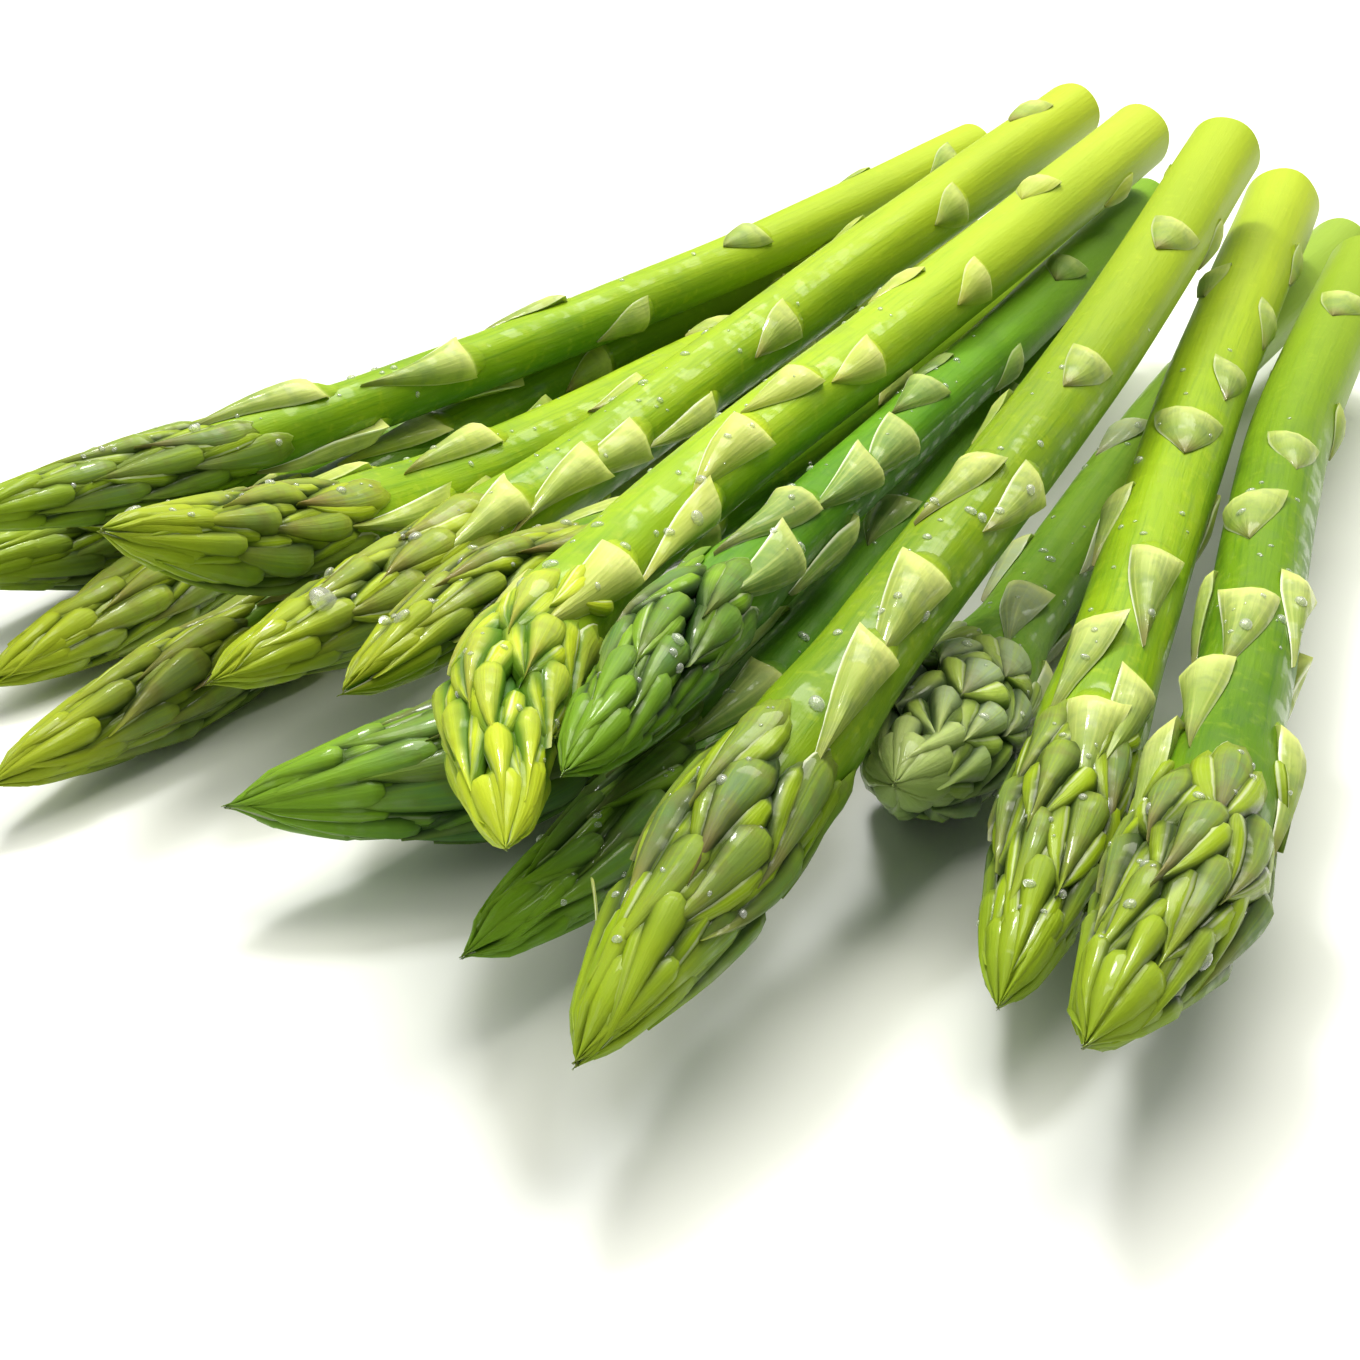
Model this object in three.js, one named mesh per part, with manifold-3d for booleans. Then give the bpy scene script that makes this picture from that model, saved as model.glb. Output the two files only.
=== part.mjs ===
// A loose bundle of fifteen green asparagus spears, lying in a low heap on a flat surface.
//
// Frame: millimetres, +Z up, the heads towards -Y and the cut ends towards +Y. The origin is on
// the surface, under the middle of the heap.
//
// A spear grew as one piece, so each is one closed solid and one mesh: a tapering stem, the
// scale leaves along it, and a head of scales that overlap like roof tiles. The scales climb
// every spear in the same spiral, a golden angle apart. Where two spears lie on each other,
// or a spear lies on the surface, the scales between them are pressed flat.

import * as THREE from 'three';
import { mergeVertices } from 'three/addons/utils/BufferGeometryUtils.js';
import Module from 'manifold-3d';

// ---------- driving dimensions, mm ----------

const HEAD_LENGTH = 46; // from the tip to the first scale that stands alone on the stem
const HEAD_FULL = 27; // from the tip to where the head reaches its full width
const NECK_END = 66; // from the tip to where the swelling of the head has gone
const NECK_WAIST = 0.88; // the stem's width just behind the head, as a share of its girth
const SCALE_DEPTH = 2.1; // how far the scales of the head stand out of its core
const NECK_SCALE = 1.2; // the same for the scales on the neck
const PRESSED = 0.7; // what a scale still stands out where something lies against it
const CLEAR = 0.35; // the gap that is left between two spears
const ROOT_DEPTH = 2.4; // how deep a scale is rooted in what it grows from
const CAP_RADIUS = 1.1; // the blunt end of the tip

const GOLDEN_ANGLE = Math.PI * (3 - Math.sqrt(5));

// The scales of the head stand in rings of five, each ring turned by half a scale against the
// last and a little more, so that they climb in spirals. A ring is given by the distance of its
// rims from the tip.
const HEAD_RIMS = [43, 35.5, 28.5, 22, 16, 10.5, 5.5];
const SCALES_IN_RING = 5;
const COLUMNS_IN_SCALE = 4;
const RING_TURN = 8; // degrees
const RIM_STEP = 0.9; // the length over which a rim drops to what is under it

const STEM_SCALE_FIRST = 51; // from the tip to the rim of the first scale on the stem
const STEM_SCALE_STEP = 6; // to the next one
const STEM_SCALE_GROWTH = 1.4; // by which each step is longer than the last
const STEM_SCALE_STEP_MAX = 20;
const STEM_SCALE_APART = 10; // closer to a placed scale than this, the spiral leaves one out
const STEM_SCALE = [[21, 8.5], [6.2, 7.2], [2, 1.1]]; // length, width and lift, at the head and far from it
const STEM_SCALE_LONG = 64; // up to here from the tip they are as long as at the head
const STEM_SCALE_FADE = 75; // the length over which they then get small
const BARE_END = 12; // the stretch at the cut end without a scale
const STEM_STATIONS = 6; // places where the stem's outline is set, from the neck to the cut end

// The spears from the bottom of the heap up. A route runs from the middle of the cut end by the
// middle of the stem, the neck and the widest part of the head to the tip. Girth is the width of
// the stem at its cut end, plump the width of the head as a share of it, and twist turns the
// spiral of scales about the stem, in degrees. Placed are the scales that grew out of the
// spiral on the uppermost spears: the distance from the tip, and the angle from the back.
const SPEARS = [
  { name: 'spear_01', girth: 11.8, plump: 1.12, twist: 20, colour: '#7fa136',
    route: [[-35, 106.5, 6], [-39, 26.5, 5.6], [-43, -53.5, 5.9],
      [-45.5, -90.5, 6.5], [-47.5, -118.5, 7]] },
  { name: 'spear_02', girth: 12, plump: 1.48, twist: 150, colour: '#6f9a2e',
    route: [[3, 96, 5.9], [6.5, 18.5, 5.8], [9.5, -58.5, 8], [2.5, -95, 11], [-13.5, -117, 13]] },
  { name: 'spear_03', girth: 11.2, plump: 1.15, twist: 250, colour: '#6c9a2c',
    route: [[13.5, 98, 15.5], [19, 18.5, 13.5], [24, -61, 11.5], [24.5, -98, 11], [22, -126, 11.5]] },
  { name: 'spear_04', girth: 12.4, plump: 1.17, twist: 75, colour: '#86a83d',
    route: [[-46, 134.5, 6.5], [-57, 55, 6], [-71.5, -23.5, 6.2], [-80, -59.5, 8], [-87.5, -86.5, 11]] },
  { name: 'spear_05', girth: 11.3, plump: 1.15, twist: 310, colour: '#80a438',
    route: [[-39, 123.5, 18], [-49, 44.5, 13.5], [-60, -34.5, 8.5], [-65.5, -71, 6.2], [-69, -98.5, 5]] },
  { name: 'spear_06', girth: 12.2, plump: 1.6, twist: 40, colour: '#8b9c5a',
    route: [[46.5, 138.5, 15.3], [40.5, 57, 11.3], [42, -26, 6.9], [46, -63, 10.2], [50.5, -88.5, 18.6]] },
  { name: 'spear_07', girth: 12.7, plump: 1.3, twist: 200, colour: '#92b244',
    route: [[57, 106, 21.5], [63.5, 25.5, 18.5], [77, -54.5, 16.5], [81.5, -91, 16.5], [81, -119, 17.5]],
    placed: [[67, 38], [84, 6], [92, -48], [114, 28], [134, -14]] },
  { name: 'spear_08', girth: 13.3, plump: 1.08, twist: 120, colour: '#8db43c',
    route: [[40, 112, 29.5], [49, 34, 22.5], [60, -43, 15], [65.5, -79.5, 12], [69.5, -107.5, 10]],
    placed: [[44, -6], [51, -40], [62, 20], [80, -18], [99, 64], [120, -4], [165, -70]] },
  { name: 'spear_09', girth: 10.7, plump: 1.14, twist: 330, colour: '#8bb03c',
    route: [[0.5, 127, 18.5], [2.5, 47, 17.8], [-2.6, -33, 15.8], [-11, -70, 18.5], [-12.5, -98, 18]] },
  { name: 'spear_10', girth: 10.1, plump: 1.3, twist: 60, colour: '#7fa737',
    route: [[16.5, 108.5, 27], [18.5, 28.5, 25.5], [21, -51.5, 26], [23.5, -88.5, 27], [27.5, -116, 28]],
    placed: [[54, -58], [65, -10], [82, -46], [111, -10]] },
  { name: 'spear_11', girth: 12.1, plump: 1.14, twist: 190, colour: '#a3c13a',
    route: [[-22, 118, 12.5], [-29, 38.5, 14.5], [-37, -40.5, 16.5],
      [-39.5, -77, 22.5], [-41, -102.5, 33.5]] },
  { name: 'spear_12', girth: 9.9, plump: 1.2, twist: 280, colour: '#8aad3f',
    route: [[-25, 129.5, 28], [-41, 50, 22.9], [-60, -29, 20.4], [-70.5, -64.5, 20.5], [-79, -91, 22.5]] },
  { name: 'spear_13', girth: 11.8, plump: 1.14, twist: 5, colour: '#9abd40',
    route: [[-3.5, 123.5, 38.5], [-13, 43.5, 28.5], [-21.5, -36.5, 18.5],
      [-25.5, -73.5, 16], [-29, -101, 16.5]],
    placed: [[52, -38], [68, -50], [78, -64], [120, -58]] },
  { name: 'spear_14', girth: 11.7, plump: 1.24, twist: 230, colour: '#b4cc35',
    route: [[16, 101, 41], [12, 16.5, 34.5], [7, -67.5, 27.5], [13, -103.5, 26], [28, -127.5, 26.5]],
    placed: [[55, -46], [77, -76], [92, -32], [122, -58], [146, 40], [190, 8]] },
  { name: 'spear_15', girth: 12.2, plump: 1.25, twist: 100, colour: '#9cc036',
    route: [[35, 85, 44], [40, 5, 34.5], [41, -75, 25], [41.5, -111.5, 20], [42, -139, 15]],
    placed: [[60, -36], [76, -28], [101, 8], [104, -68], [134, -30], [180, -26]] },
];

// ---------- the form of a spear ----------

const UP = new THREE.Vector3(0, 0, 1);
const smooth = (x) => THREE.MathUtils.smoothstep(x, 0, 1);

// A spear's axis with its widths. Places on it are given by their distance from the tip.
class Spear {
  constructor(spec) {
    Object.assign(this, spec);
    this.curve = new THREE.CatmullRomCurve3(spec.route.map((p) => new THREE.Vector3(...p)));
    this.length = this.curve.getLength();
  }

  // The middle of the spear, with the directions of its back (upwards) and of its side.
  station(fromTip) {
    const share = THREE.MathUtils.clamp(1 - fromTip / this.length, 0, 1);
    const middle = this.curve.getPointAt(share);
    const along = this.curve.getTangentAt(share);
    const side = new THREE.Vector3().crossVectors(along, UP).normalize();
    const back = new THREE.Vector3().crossVectors(side, along);
    return { middle, side, back };
  }

  stemRadius(fromTip) {
    const share = (fromTip - NECK_END) / (this.length - NECK_END);
    return (this.girth / 2) * THREE.MathUtils.lerp(NECK_WAIST, 1, THREE.MathUtils.clamp(share, 0, 1));
  }

  // The outer form: an ogive as far as the head's full width, then the neck, then the stem.
  outerRadius(fromTip) {
    const full = (this.girth / 2) * this.plump;
    if (fromTip < HEAD_FULL) {
      return CAP_RADIUS + (full - CAP_RADIUS) * (fromTip / HEAD_FULL) ** 0.66;
    }
    const fade = smooth((fromTip - HEAD_FULL) / (NECK_END - HEAD_FULL));
    return THREE.MathUtils.lerp(full, this.stemRadius(fromTip), fade);
  }

  // The core that the scales grow from: the outer form less the depth of the scales.
  coreRadius(fromTip) {
    const fade = smooth((fromTip - HEAD_FULL) / (HEAD_LENGTH + 6 - HEAD_FULL));
    const depth = SCALE_DEPTH * Math.min(1, 0.25 + fromTip / HEAD_FULL) * (1 - fade);
    return Math.max(this.outerRadius(fromTip) - depth, 0.5);
  }

  // What this spear takes up with its scales pressed flat.
  skinRadius(fromTip) {
    return Math.max(this.outerRadius(fromTip), this.coreRadius(fromTip) + PRESSED);
  }

  point(fromTip, angle, radius) {
    const { middle, side, back } = this.station(fromTip);
    return middle
      .addScaledVector(back, Math.cos(angle) * radius)
      .addScaledVector(side, Math.sin(angle) * radius);
  }

  // Points along the axis with the radius there, to measure distances against.
  get beads() {
    if (!this.beadList) {
      this.beadList = [];
      for (let fromTip = 0; fromTip <= this.length; fromTip += 2) {
        this.beadList.push({ at: this.station(fromTip).middle, radius: this.skinRadius(fromTip) });
      }
    }
    return this.beadList;
  }
}

const spears = SPEARS.map((spec) => new Spear(spec));

// How far a point is from the nearest other spear, or from the surface they lie on.
function roomAt(point, self) {
  let room = point.z + CLEAR;
  for (const other of spears) {
    if (other === self) continue;
    for (const bead of other.beads) room = Math.min(room, point.distanceTo(bead.at) - bead.radius);
  }
  return room;
}

// ---------- closed solids ----------

const wasm = await Module();
wasm.setup();

function solid(points, triangles) {
  const vertProperties = new Float32Array(points.flatMap((p) => [p.x, p.y, p.z]));
  const make = (faces) => {
    const triVerts = new Uint32Array(faces.flat());
    return new wasm.Manifold(new wasm.Mesh({ numProp: 3, vertProperties, triVerts }));
  };
  const made = make(triangles);
  return made.volume() > 0 ? made : make(triangles.map(([a, b, c]) => [a, c, b]));
}

// The head in rings of points. Across a scale the columns run edge, middle, edge, gap, and the
// gap is where the middle of a scale of the ring below still stands. Each rim has a ring of
// points on its crest and one at its foot.
const CREST = [1, 0.45, 0.8, 0.45];
const FOOT = [0.05, 0.3, 0.95, 0.3];
const LAST_CREST = [0.9, 0.3, 0, 0.3]; // of the ring on the neck, with nothing below it
const LAST_FOOT = [0, 0, 0, 0];

function headRings(spear) {
  const columns = SCALES_IN_RING * COLUMNS_IN_SCALE;
  const ring = (fromTip, heights, index) => {
    const core = spear.coreRadius(fromTip);
    const depth = Math.max(spear.outerRadius(fromTip) - core, fromTip > HEAD_FULL ? NECK_SCALE : 0);
    const points = [];
    for (let j = 0; j < columns; j++) {
      const inScale = (j + (index % 2) * (COLUMNS_IN_SCALE / 2)) % COLUMNS_IN_SCALE;
      const angle = (j / columns) * 2 * Math.PI + THREE.MathUtils.degToRad(spear.twist + index * RING_TURN);
      points.push(spear.point(fromTip, angle, core + depth * heights[inScale]));
    }
    return points;
  };
  return HEAD_RIMS.flatMap((rim, index) => [
    ring(rim + RIM_STEP, index ? FOOT : LAST_FOOT, index),
    ring(rim, index ? CREST : LAST_CREST, index),
  ]);
}

// The bare stem in rings of half as many points, from the cut end to the neck.
function stemRings(spear) {
  const sides = (SCALES_IN_RING * COLUMNS_IN_SCALE) / 2;
  const start = HEAD_RIMS[0] + RIM_STEP + 3;
  const rings = [];
  for (let i = STEM_STATIONS; i >= 0; i--) {
    const fromTip = start + (spear.length - start) * (i / STEM_STATIONS) ** 1.2;
    const radius = spear.coreRadius(fromTip) / Math.cos(Math.PI / sides / 2);
    const points = [];
    for (let j = 0; j < sides; j++) {
      const angle = (j / sides) * 2 * Math.PI + THREE.MathUtils.degToRad(spear.twist);
      points.push(spear.point(fromTip, angle, radius));
    }
    rings.push(points);
  }
  return rings;
}

// The stem and the head as one closed skin, from the middle of the flat cut end to the tip.
function skin(spear) {
  const rings = [...stemRings(spear), ...headRings(spear)];
  const points = [spear.point(spear.length, 0, 0)];
  const starts = rings.map((ring) => points.push(...ring) - ring.length);
  const tip = points.push(spear.point(0, 0, 0)) - 1;
  const triangles = [];
  const at = (index, j) => starts[index] + (j % rings[index].length);
  for (let j = 0; j < rings[0].length; j++) triangles.push([0, at(0, j + 1), at(0, j)]);
  for (let i = 0; i + 1 < rings.length; i++) {
    const doubled = rings[i + 1].length > rings[i].length;
    for (let j = 0; j < rings[i].length; j++) {
      const k = doubled ? 2 * j : j;
      triangles.push([at(i, j), at(i, j + 1), at(i + 1, k + 1)]);
      triangles.push([at(i, j), at(i + 1, k + 1), at(i + 1, k)]);
      if (doubled) triangles.push([at(i, j + 1), at(i + 1, k + 2), at(i + 1, k + 1)]);
    }
  }
  const last = rings.length - 1;
  for (let j = 0; j < rings[last].length; j++) triangles.push([tip, at(last, j), at(last, j + 1)]);
  return solid(points, triangles);
}

// A scale leaf: the outline from the raised rim round to the point and back, then its ridge.
// Each entry is the share of its length, of its half width, and of its lift.
const OUTLINE = [
  [-0.03, 0, 0.85],
  [0, 1, 0.5],
  [1, 0, 0.2],
  [0, -1, 0.5],
];
const RIDGE = [[0.3, 0, 1]];
const ROOT = 0.4;
const LEAF_TRIANGLES = [
  [0, 1, 4], [1, 2, 4], [2, 3, 4], [3, 0, 4],
  [1, 0, 5], [2, 1, 5], [3, 2, 5], [0, 3, 5],
];

function leaf(spear, rim, angle, length, width, lift) {
  const place = ([along, across, height]) => {
    const fromTip = Math.max(rim - along * length, 0.2);
    const radius = spear.coreRadius(fromTip);
    const turn = Math.min((0.5 * width) / Math.max(radius, 0.5), 0.9) * across;
    const skin = spear.skinRadius(fromTip);
    const room = roomAt(spear.point(fromTip, angle + turn, skin), spear);
    const highest = skin + (room - CLEAR) / 2 - radius;
    return spear.point(fromTip, angle + turn, radius + Math.min(lift * height, highest));
  };
  const points = [...OUTLINE, ...RIDGE].map(place);
  const rootAt = rim - ROOT * length;
  points.push(spear.point(rootAt, angle, Math.max(spear.coreRadius(rootAt) - ROOT_DEPTH, 0.3)));
  return solid(points, LEAF_TRIANGLES);
}

// Where the single scales of the stem stand, each by its rim and its angle: the placed ones,
// and those of the spiral, further and further apart, that keep clear of them.
function stemSpots(spear) {
  const placed = (spear.placed ?? []).map(([rim, angle]) => [rim, THREE.MathUtils.degToRad(angle)]);
  const apart = ([rimA, angleA], [rimB, angleB]) => {
    const across = spear.stemRadius(rimA) * 2 * Math.sin((angleA - angleB) / 2);
    return Math.hypot(rimA - rimB, across);
  };
  const spots = [...placed];
  let rim = STEM_SCALE_FIRST;
  let step = STEM_SCALE_STEP;
  for (let i = 1; rim < spear.length - BARE_END; i++) {
    const spot = [rim, THREE.MathUtils.degToRad(spear.twist) - i * GOLDEN_ANGLE];
    if (placed.every((other) => apart(spot, other) > STEM_SCALE_APART)) spots.push(spot);
    rim += step;
    step = Math.min(step + STEM_SCALE_GROWTH, STEM_SCALE_STEP_MAX);
  }
  return spots;
}

function stemScales(spear) {
  return stemSpots(spear).map(([rim, angle]) => {
    const fade = smooth((rim - STEM_SCALE_LONG) / STEM_SCALE_FADE);
    const [length, width, lift] = STEM_SCALE.map(([near, far]) => THREE.MathUtils.lerp(near, far, fade));
    return leaf(spear, rim, angle, length, width, lift);
  });
}

// The half space under the surface, which gives the lowest spears their small flat spots.
function ground() {
  const box = new THREE.BoxGeometry(800, 800, 40).translate(0, 0, -20);
  box.deleteAttribute('normal');
  box.deleteAttribute('uv');
  const merged = mergeVertices(box);
  return new wasm.Manifold(
    new wasm.Mesh({
      numProp: 3,
      vertProperties: merged.attributes.position.array,
      triVerts: new Uint32Array(merged.index.array),
    }),
  );
}

function geometryOf(made) {
  const mesh = made.getMesh();
  const geometry = new THREE.BufferGeometry();
  geometry.setAttribute('position', new THREE.BufferAttribute(new Float32Array(mesh.vertProperties), 3));
  geometry.setIndex(new THREE.BufferAttribute(new Uint32Array(mesh.triVerts), 1));
  geometry.computeVertexNormals();
  return geometry;
}

// ---------- the bundle ----------

const bundle = new THREE.Group();
bundle.name = 'asparagus_bundle';
const surface = ground();
for (const spear of spears) {
  const whole = stemScales(spear).reduce((sum, scale) => sum.add(scale), skin(spear));
  const material = new THREE.MeshStandardMaterial({ color: spear.colour, roughness: 0.42, metalness: 0 });
  const mesh = new THREE.Mesh(geometryOf(whole.subtract(surface)), material);
  mesh.name = spear.name;
  bundle.add(mesh);
}

export default bundle;
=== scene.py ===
# %% [markdown]
# # A bundle of green asparagus
# Fifteen spears lie in a loose heap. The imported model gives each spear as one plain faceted
# solid. Here every one of them is grown again as a fine surface with the same axis, widths and
# spiral of scales: a smooth stem, thin papery scales down its length, and a head of fleshy
# scales with small buds between them. Water drops and the studio come last.

# %% The frame
import bpy
import numpy as np
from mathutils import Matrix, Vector


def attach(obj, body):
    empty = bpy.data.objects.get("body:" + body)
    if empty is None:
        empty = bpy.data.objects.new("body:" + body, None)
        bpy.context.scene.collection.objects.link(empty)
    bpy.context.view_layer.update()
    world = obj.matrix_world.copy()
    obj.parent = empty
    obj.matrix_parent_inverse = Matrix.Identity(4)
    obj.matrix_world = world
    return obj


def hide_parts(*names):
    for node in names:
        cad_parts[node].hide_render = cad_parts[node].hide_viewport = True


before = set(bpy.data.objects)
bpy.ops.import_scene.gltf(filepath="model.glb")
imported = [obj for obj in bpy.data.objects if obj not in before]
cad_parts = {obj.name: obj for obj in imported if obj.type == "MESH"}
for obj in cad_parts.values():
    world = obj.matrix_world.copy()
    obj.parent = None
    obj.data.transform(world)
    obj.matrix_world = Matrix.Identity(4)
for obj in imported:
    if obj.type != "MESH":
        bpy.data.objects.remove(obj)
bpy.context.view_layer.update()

print("spears in the frame:", len(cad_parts))

# %% [markdown]
# ## The spears
# The routes, widths and twists are those of the solids, in millimetres and degrees. A route
# runs from the cut end by the middle of the stem, the neck and the widest part of the head to
# the tip. Girth is how thick the stem is, plump how many times wider the head is, and twist
# the angle where the spiral of scales starts. Openness says how far the scales of a head part,
# from 0 to 1, and stubby how long they are beside the usual ones. Placed are the stem scales
# that grew out of the spiral: how far the butt is from the tip, the angle, and for a few how
# many times wider they are. The look names the finish.

# %% Driving values
MM = 0.001

# The deep look of spear_02, spear_03 and spear_10 is partly painted shade: a darker copy for
# spears that lie low in the heap.
SPEARS = {
    "spear_01": dict(
        look="olive", girth=11.8, plump=1.12, twist=20, openness=0.35,
        route=[[-35, 106.5, 6], [-39, 26.5, 5.6], [-43, -53.5, 5.9], [-45.5, -90.5, 6.5],
               [-47.5, -118.5, 7]]),
    "spear_02": dict(
        look="deep", girth=12, plump=1.48, twist=150, openness=0.4,
        route=[[3, 96, 5.9], [6.5, 18.5, 5.8], [9.5, -58.5, 8], [2.5, -95, 11],
               [-13.5, -117, 13]]),
    "spear_03": dict(
        look="deep", girth=11.2, plump=1.15, twist=250, openness=0.5,
        route=[[13.5, 98, 15.5], [19, 18.5, 13.5], [24, -61, 11.5], [24.5, -98, 11],
               [22, -126, 11.5]]),
    "spear_04": dict(
        look="green", girth=12.4, plump=1.17, twist=75, openness=0.3,
        route=[[-46, 134.5, 6.5], [-57, 55, 6], [-71.5, -23.5, 6.2], [-80, -59.5, 8],
               [-87.5, -86.5, 11]]),
    "spear_05": dict(
        look="olive", girth=11.3, plump=1.15, twist=310, openness=0.25,
        route=[[-39, 123.5, 18], [-49, 44.5, 13.5], [-60, -34.5, 8.5], [-65.5, -71, 6.2],
               [-69, -98.5, 5]]),
    "spear_06": dict(
        look="grey", girth=12.2, plump=1.6, twist=40, openness=0.9, stubby=0.62,
        route=[[46.5, 138.5, 15.3], [40.5, 57, 11.3], [42, -26, 6.9], [46, -63, 10.2],
               [50.5, -88.5, 18.6]]),
    "spear_07": dict(
        look="green", girth=12.7, plump=1.3, twist=200, openness=0.95, stubby=0.82,
        route=[[57, 106, 21.5], [63.5, 25.5, 18.5], [77, -54.5, 16.5], [81.5, -91, 16.5],
               [81, -119, 17.5]],
        placed=[[67, 38], [84, 6], [92, -48], [114, 28, 1.45], [134, -14]]),
    "spear_08": dict(
        look="leafy", girth=13.3, plump=1.08, twist=120, openness=0.8, stubby=0.88,
        route=[[40, 112, 29.5], [49, 34, 22.5], [60, -43, 15], [65.5, -79.5, 12],
               [69.5, -107.5, 10]],
        placed=[[44, -6], [51, -40], [62, 20], [80, -18], [99, 64], [120, -4, 1.6], [165, -70]]),
    "spear_09": dict(
        look="olive", girth=10.7, plump=1.14, twist=330, openness=0.35,
        route=[[0.5, 127, 18.5], [2.5, 47, 17.8], [-2.6, -33, 15.8], [-11, -70, 18.5],
               [-12.5, -98, 18]]),
    "spear_10": dict(
        look="deep", girth=10.1, plump=1.3, twist=60, openness=0.45, stubby=0.85,
        route=[[16.5, 108.5, 27], [18.5, 28.5, 25.5], [21, -51.5, 26], [23.5, -88.5, 27],
               [27.5, -116, 28]],
        placed=[[54, -58], [65, -10], [82, -46], [111, -10]]),
    "spear_11": dict(
        look="fresh", girth=12.1, plump=1.14, twist=190, openness=0.2, stubby=0.9,
        route=[[-22, 118, 12.5], [-29, 38.5, 14.5], [-37, -40.5, 16.5], [-39.5, -77, 22.5],
               [-41, -102.5, 33.5]]),
    "spear_12": dict(
        look="leafy", girth=9.9, plump=1.2, twist=280, openness=0.4,
        route=[[-25, 129.5, 28], [-41, 50, 22.9], [-60, -29, 20.4], [-70.5, -64.5, 20.5],
               [-79, -91, 22.5]]),
    "spear_13": dict(
        look="fresh", girth=11.8, plump=1.14, twist=5, openness=0.35, stubby=0.85,
        route=[[-3.5, 123.5, 38.5], [-13, 43.5, 28.5], [-21.5, -36.5, 18.5], [-25.5, -73.5, 16],
               [-29, -101, 16.5]],
        placed=[[52, -38], [68, -50], [78, -64], [120, -58]]),
    "spear_14": dict(
        look="yellow", girth=11.7, plump=1.24, twist=230, openness=1.0, stubby=0.8,
        route=[[16, 101, 41], [12, 16.5, 34.5], [7, -67.5, 27.5], [13, -103.5, 26],
               [28, -127.5, 26.5]],
        placed=[[55, -46], [77, -76], [92, -32], [122, -58], [146, 40], [190, 8]]),
    "spear_15": dict(
        look="bright", girth=12.2, plump=1.25, twist=100, openness=0.5, stubby=0.93,
        route=[[35, 85, 44], [40, 5, 34.5], [41, -75, 25], [41.5, -111.5, 20], [42, -139, 15]],
        placed=[[60, -36], [76, -28], [101, 8], [104, -68], [134, -30], [180, -26]]),
}

print("stems, mm thick:", sorted(values["girth"] for values in SPEARS.values()))

# %% [markdown]
# ## Easing
# Nearly every form below passes from one width, height or tone to another. Two helpers do
# that, for single numbers and for whole arrays alike, so no formula needs a loop.

# %% Easing


def smooth(x):
    """The S-curve 3x^2 - 2x^3, held at 0 below 0 and at 1 above 1."""
    x = np.clip(x, 0, 1)
    return x * x * (3 - 2 * x)


def lerp(a, b, share):
    """a where share is 0, b where it is 1, and in a straight line between."""
    return a + (b - a) * share


print("a quarter of the way, straight:", lerp(0, 1, 0.25), "and eased:", smooth(0.25))

# %% [markdown]
# ## The line of a spear
# A spear bends gently where it leans on others. A Blender curve could hold its middle line, but
# the scales need that line as numbers, so a smooth curve is worked out through the five points
# of the route. The centripetal kind stays calm where two points are close together.

# %% Route
ROUTE_STEPS = 160


def route_points(route):
    """A centripetal Catmull-Rom curve: between two points a cubic whose end slopes come from
    the neighbours, weighted by the square roots of the distances."""
    p = np.array(route, float)
    p = np.vstack([2 * p[0] - p[1], p, 2 * p[-1] - p[-2]])
    weight = np.linspace(0, 1, ROUTE_STEPS, endpoint=False)[:, None]
    pieces = []
    for a, b, c, d in zip(p, p[1:], p[2:], p[3:]):
        before, here, after = (np.sqrt(np.linalg.norm(v)) for v in (b - a, c - b, d - c))
        slope_b = ((b - a) / before - (c - a) / (before + here) + (c - b) / here) * here
        slope_c = ((c - b) / here - (d - b) / (here + after) + (d - c) / after) * here
        square = -3 * b + 3 * c - 2 * slope_b - slope_c
        cube = 2 * b - 2 * c + slope_b + slope_c
        pieces.append(b + slope_b * weight + square * weight**2 + cube * weight**3)
    return np.vstack(pieces + [p[-2:-1]])


print("points on a route:", len(route_points(SPEARS["spear_01"]["route"])))

# %% [markdown]
# ## The axis and the widths
# A spear is worked out in its own straight coordinates first: the distance from the tip, the
# angle about the axis counted from its upper side, and the radius. `place` then bends them
# along the route. Everything that grows on the spear is described in these three numbers, so a
# scale follows every curve of its stem without being fitted to it. The core is the solid stem,
# also inside the head, and the outer form is what the scales on it reach.

# %% Spear axis
# The head's fullest place and the ends of the neck and of its scales are counted from the tip.
HEAD_FULL = 27
NECK_END = 66
DEPTH_END = 52
NECK_WAIST = 0.88
OGIVE_POWER = 0.66
CAP_RADIUS = 1.1
SCALE_DEPTH = 2.5
TIP_DEPTH = 0.4
CORE_LEAST = 0.5
NECK_SCALE = 1.2
PRESSED = 0.7
AIM_STEP = 0.3
LAST_POINTS = 4


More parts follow.
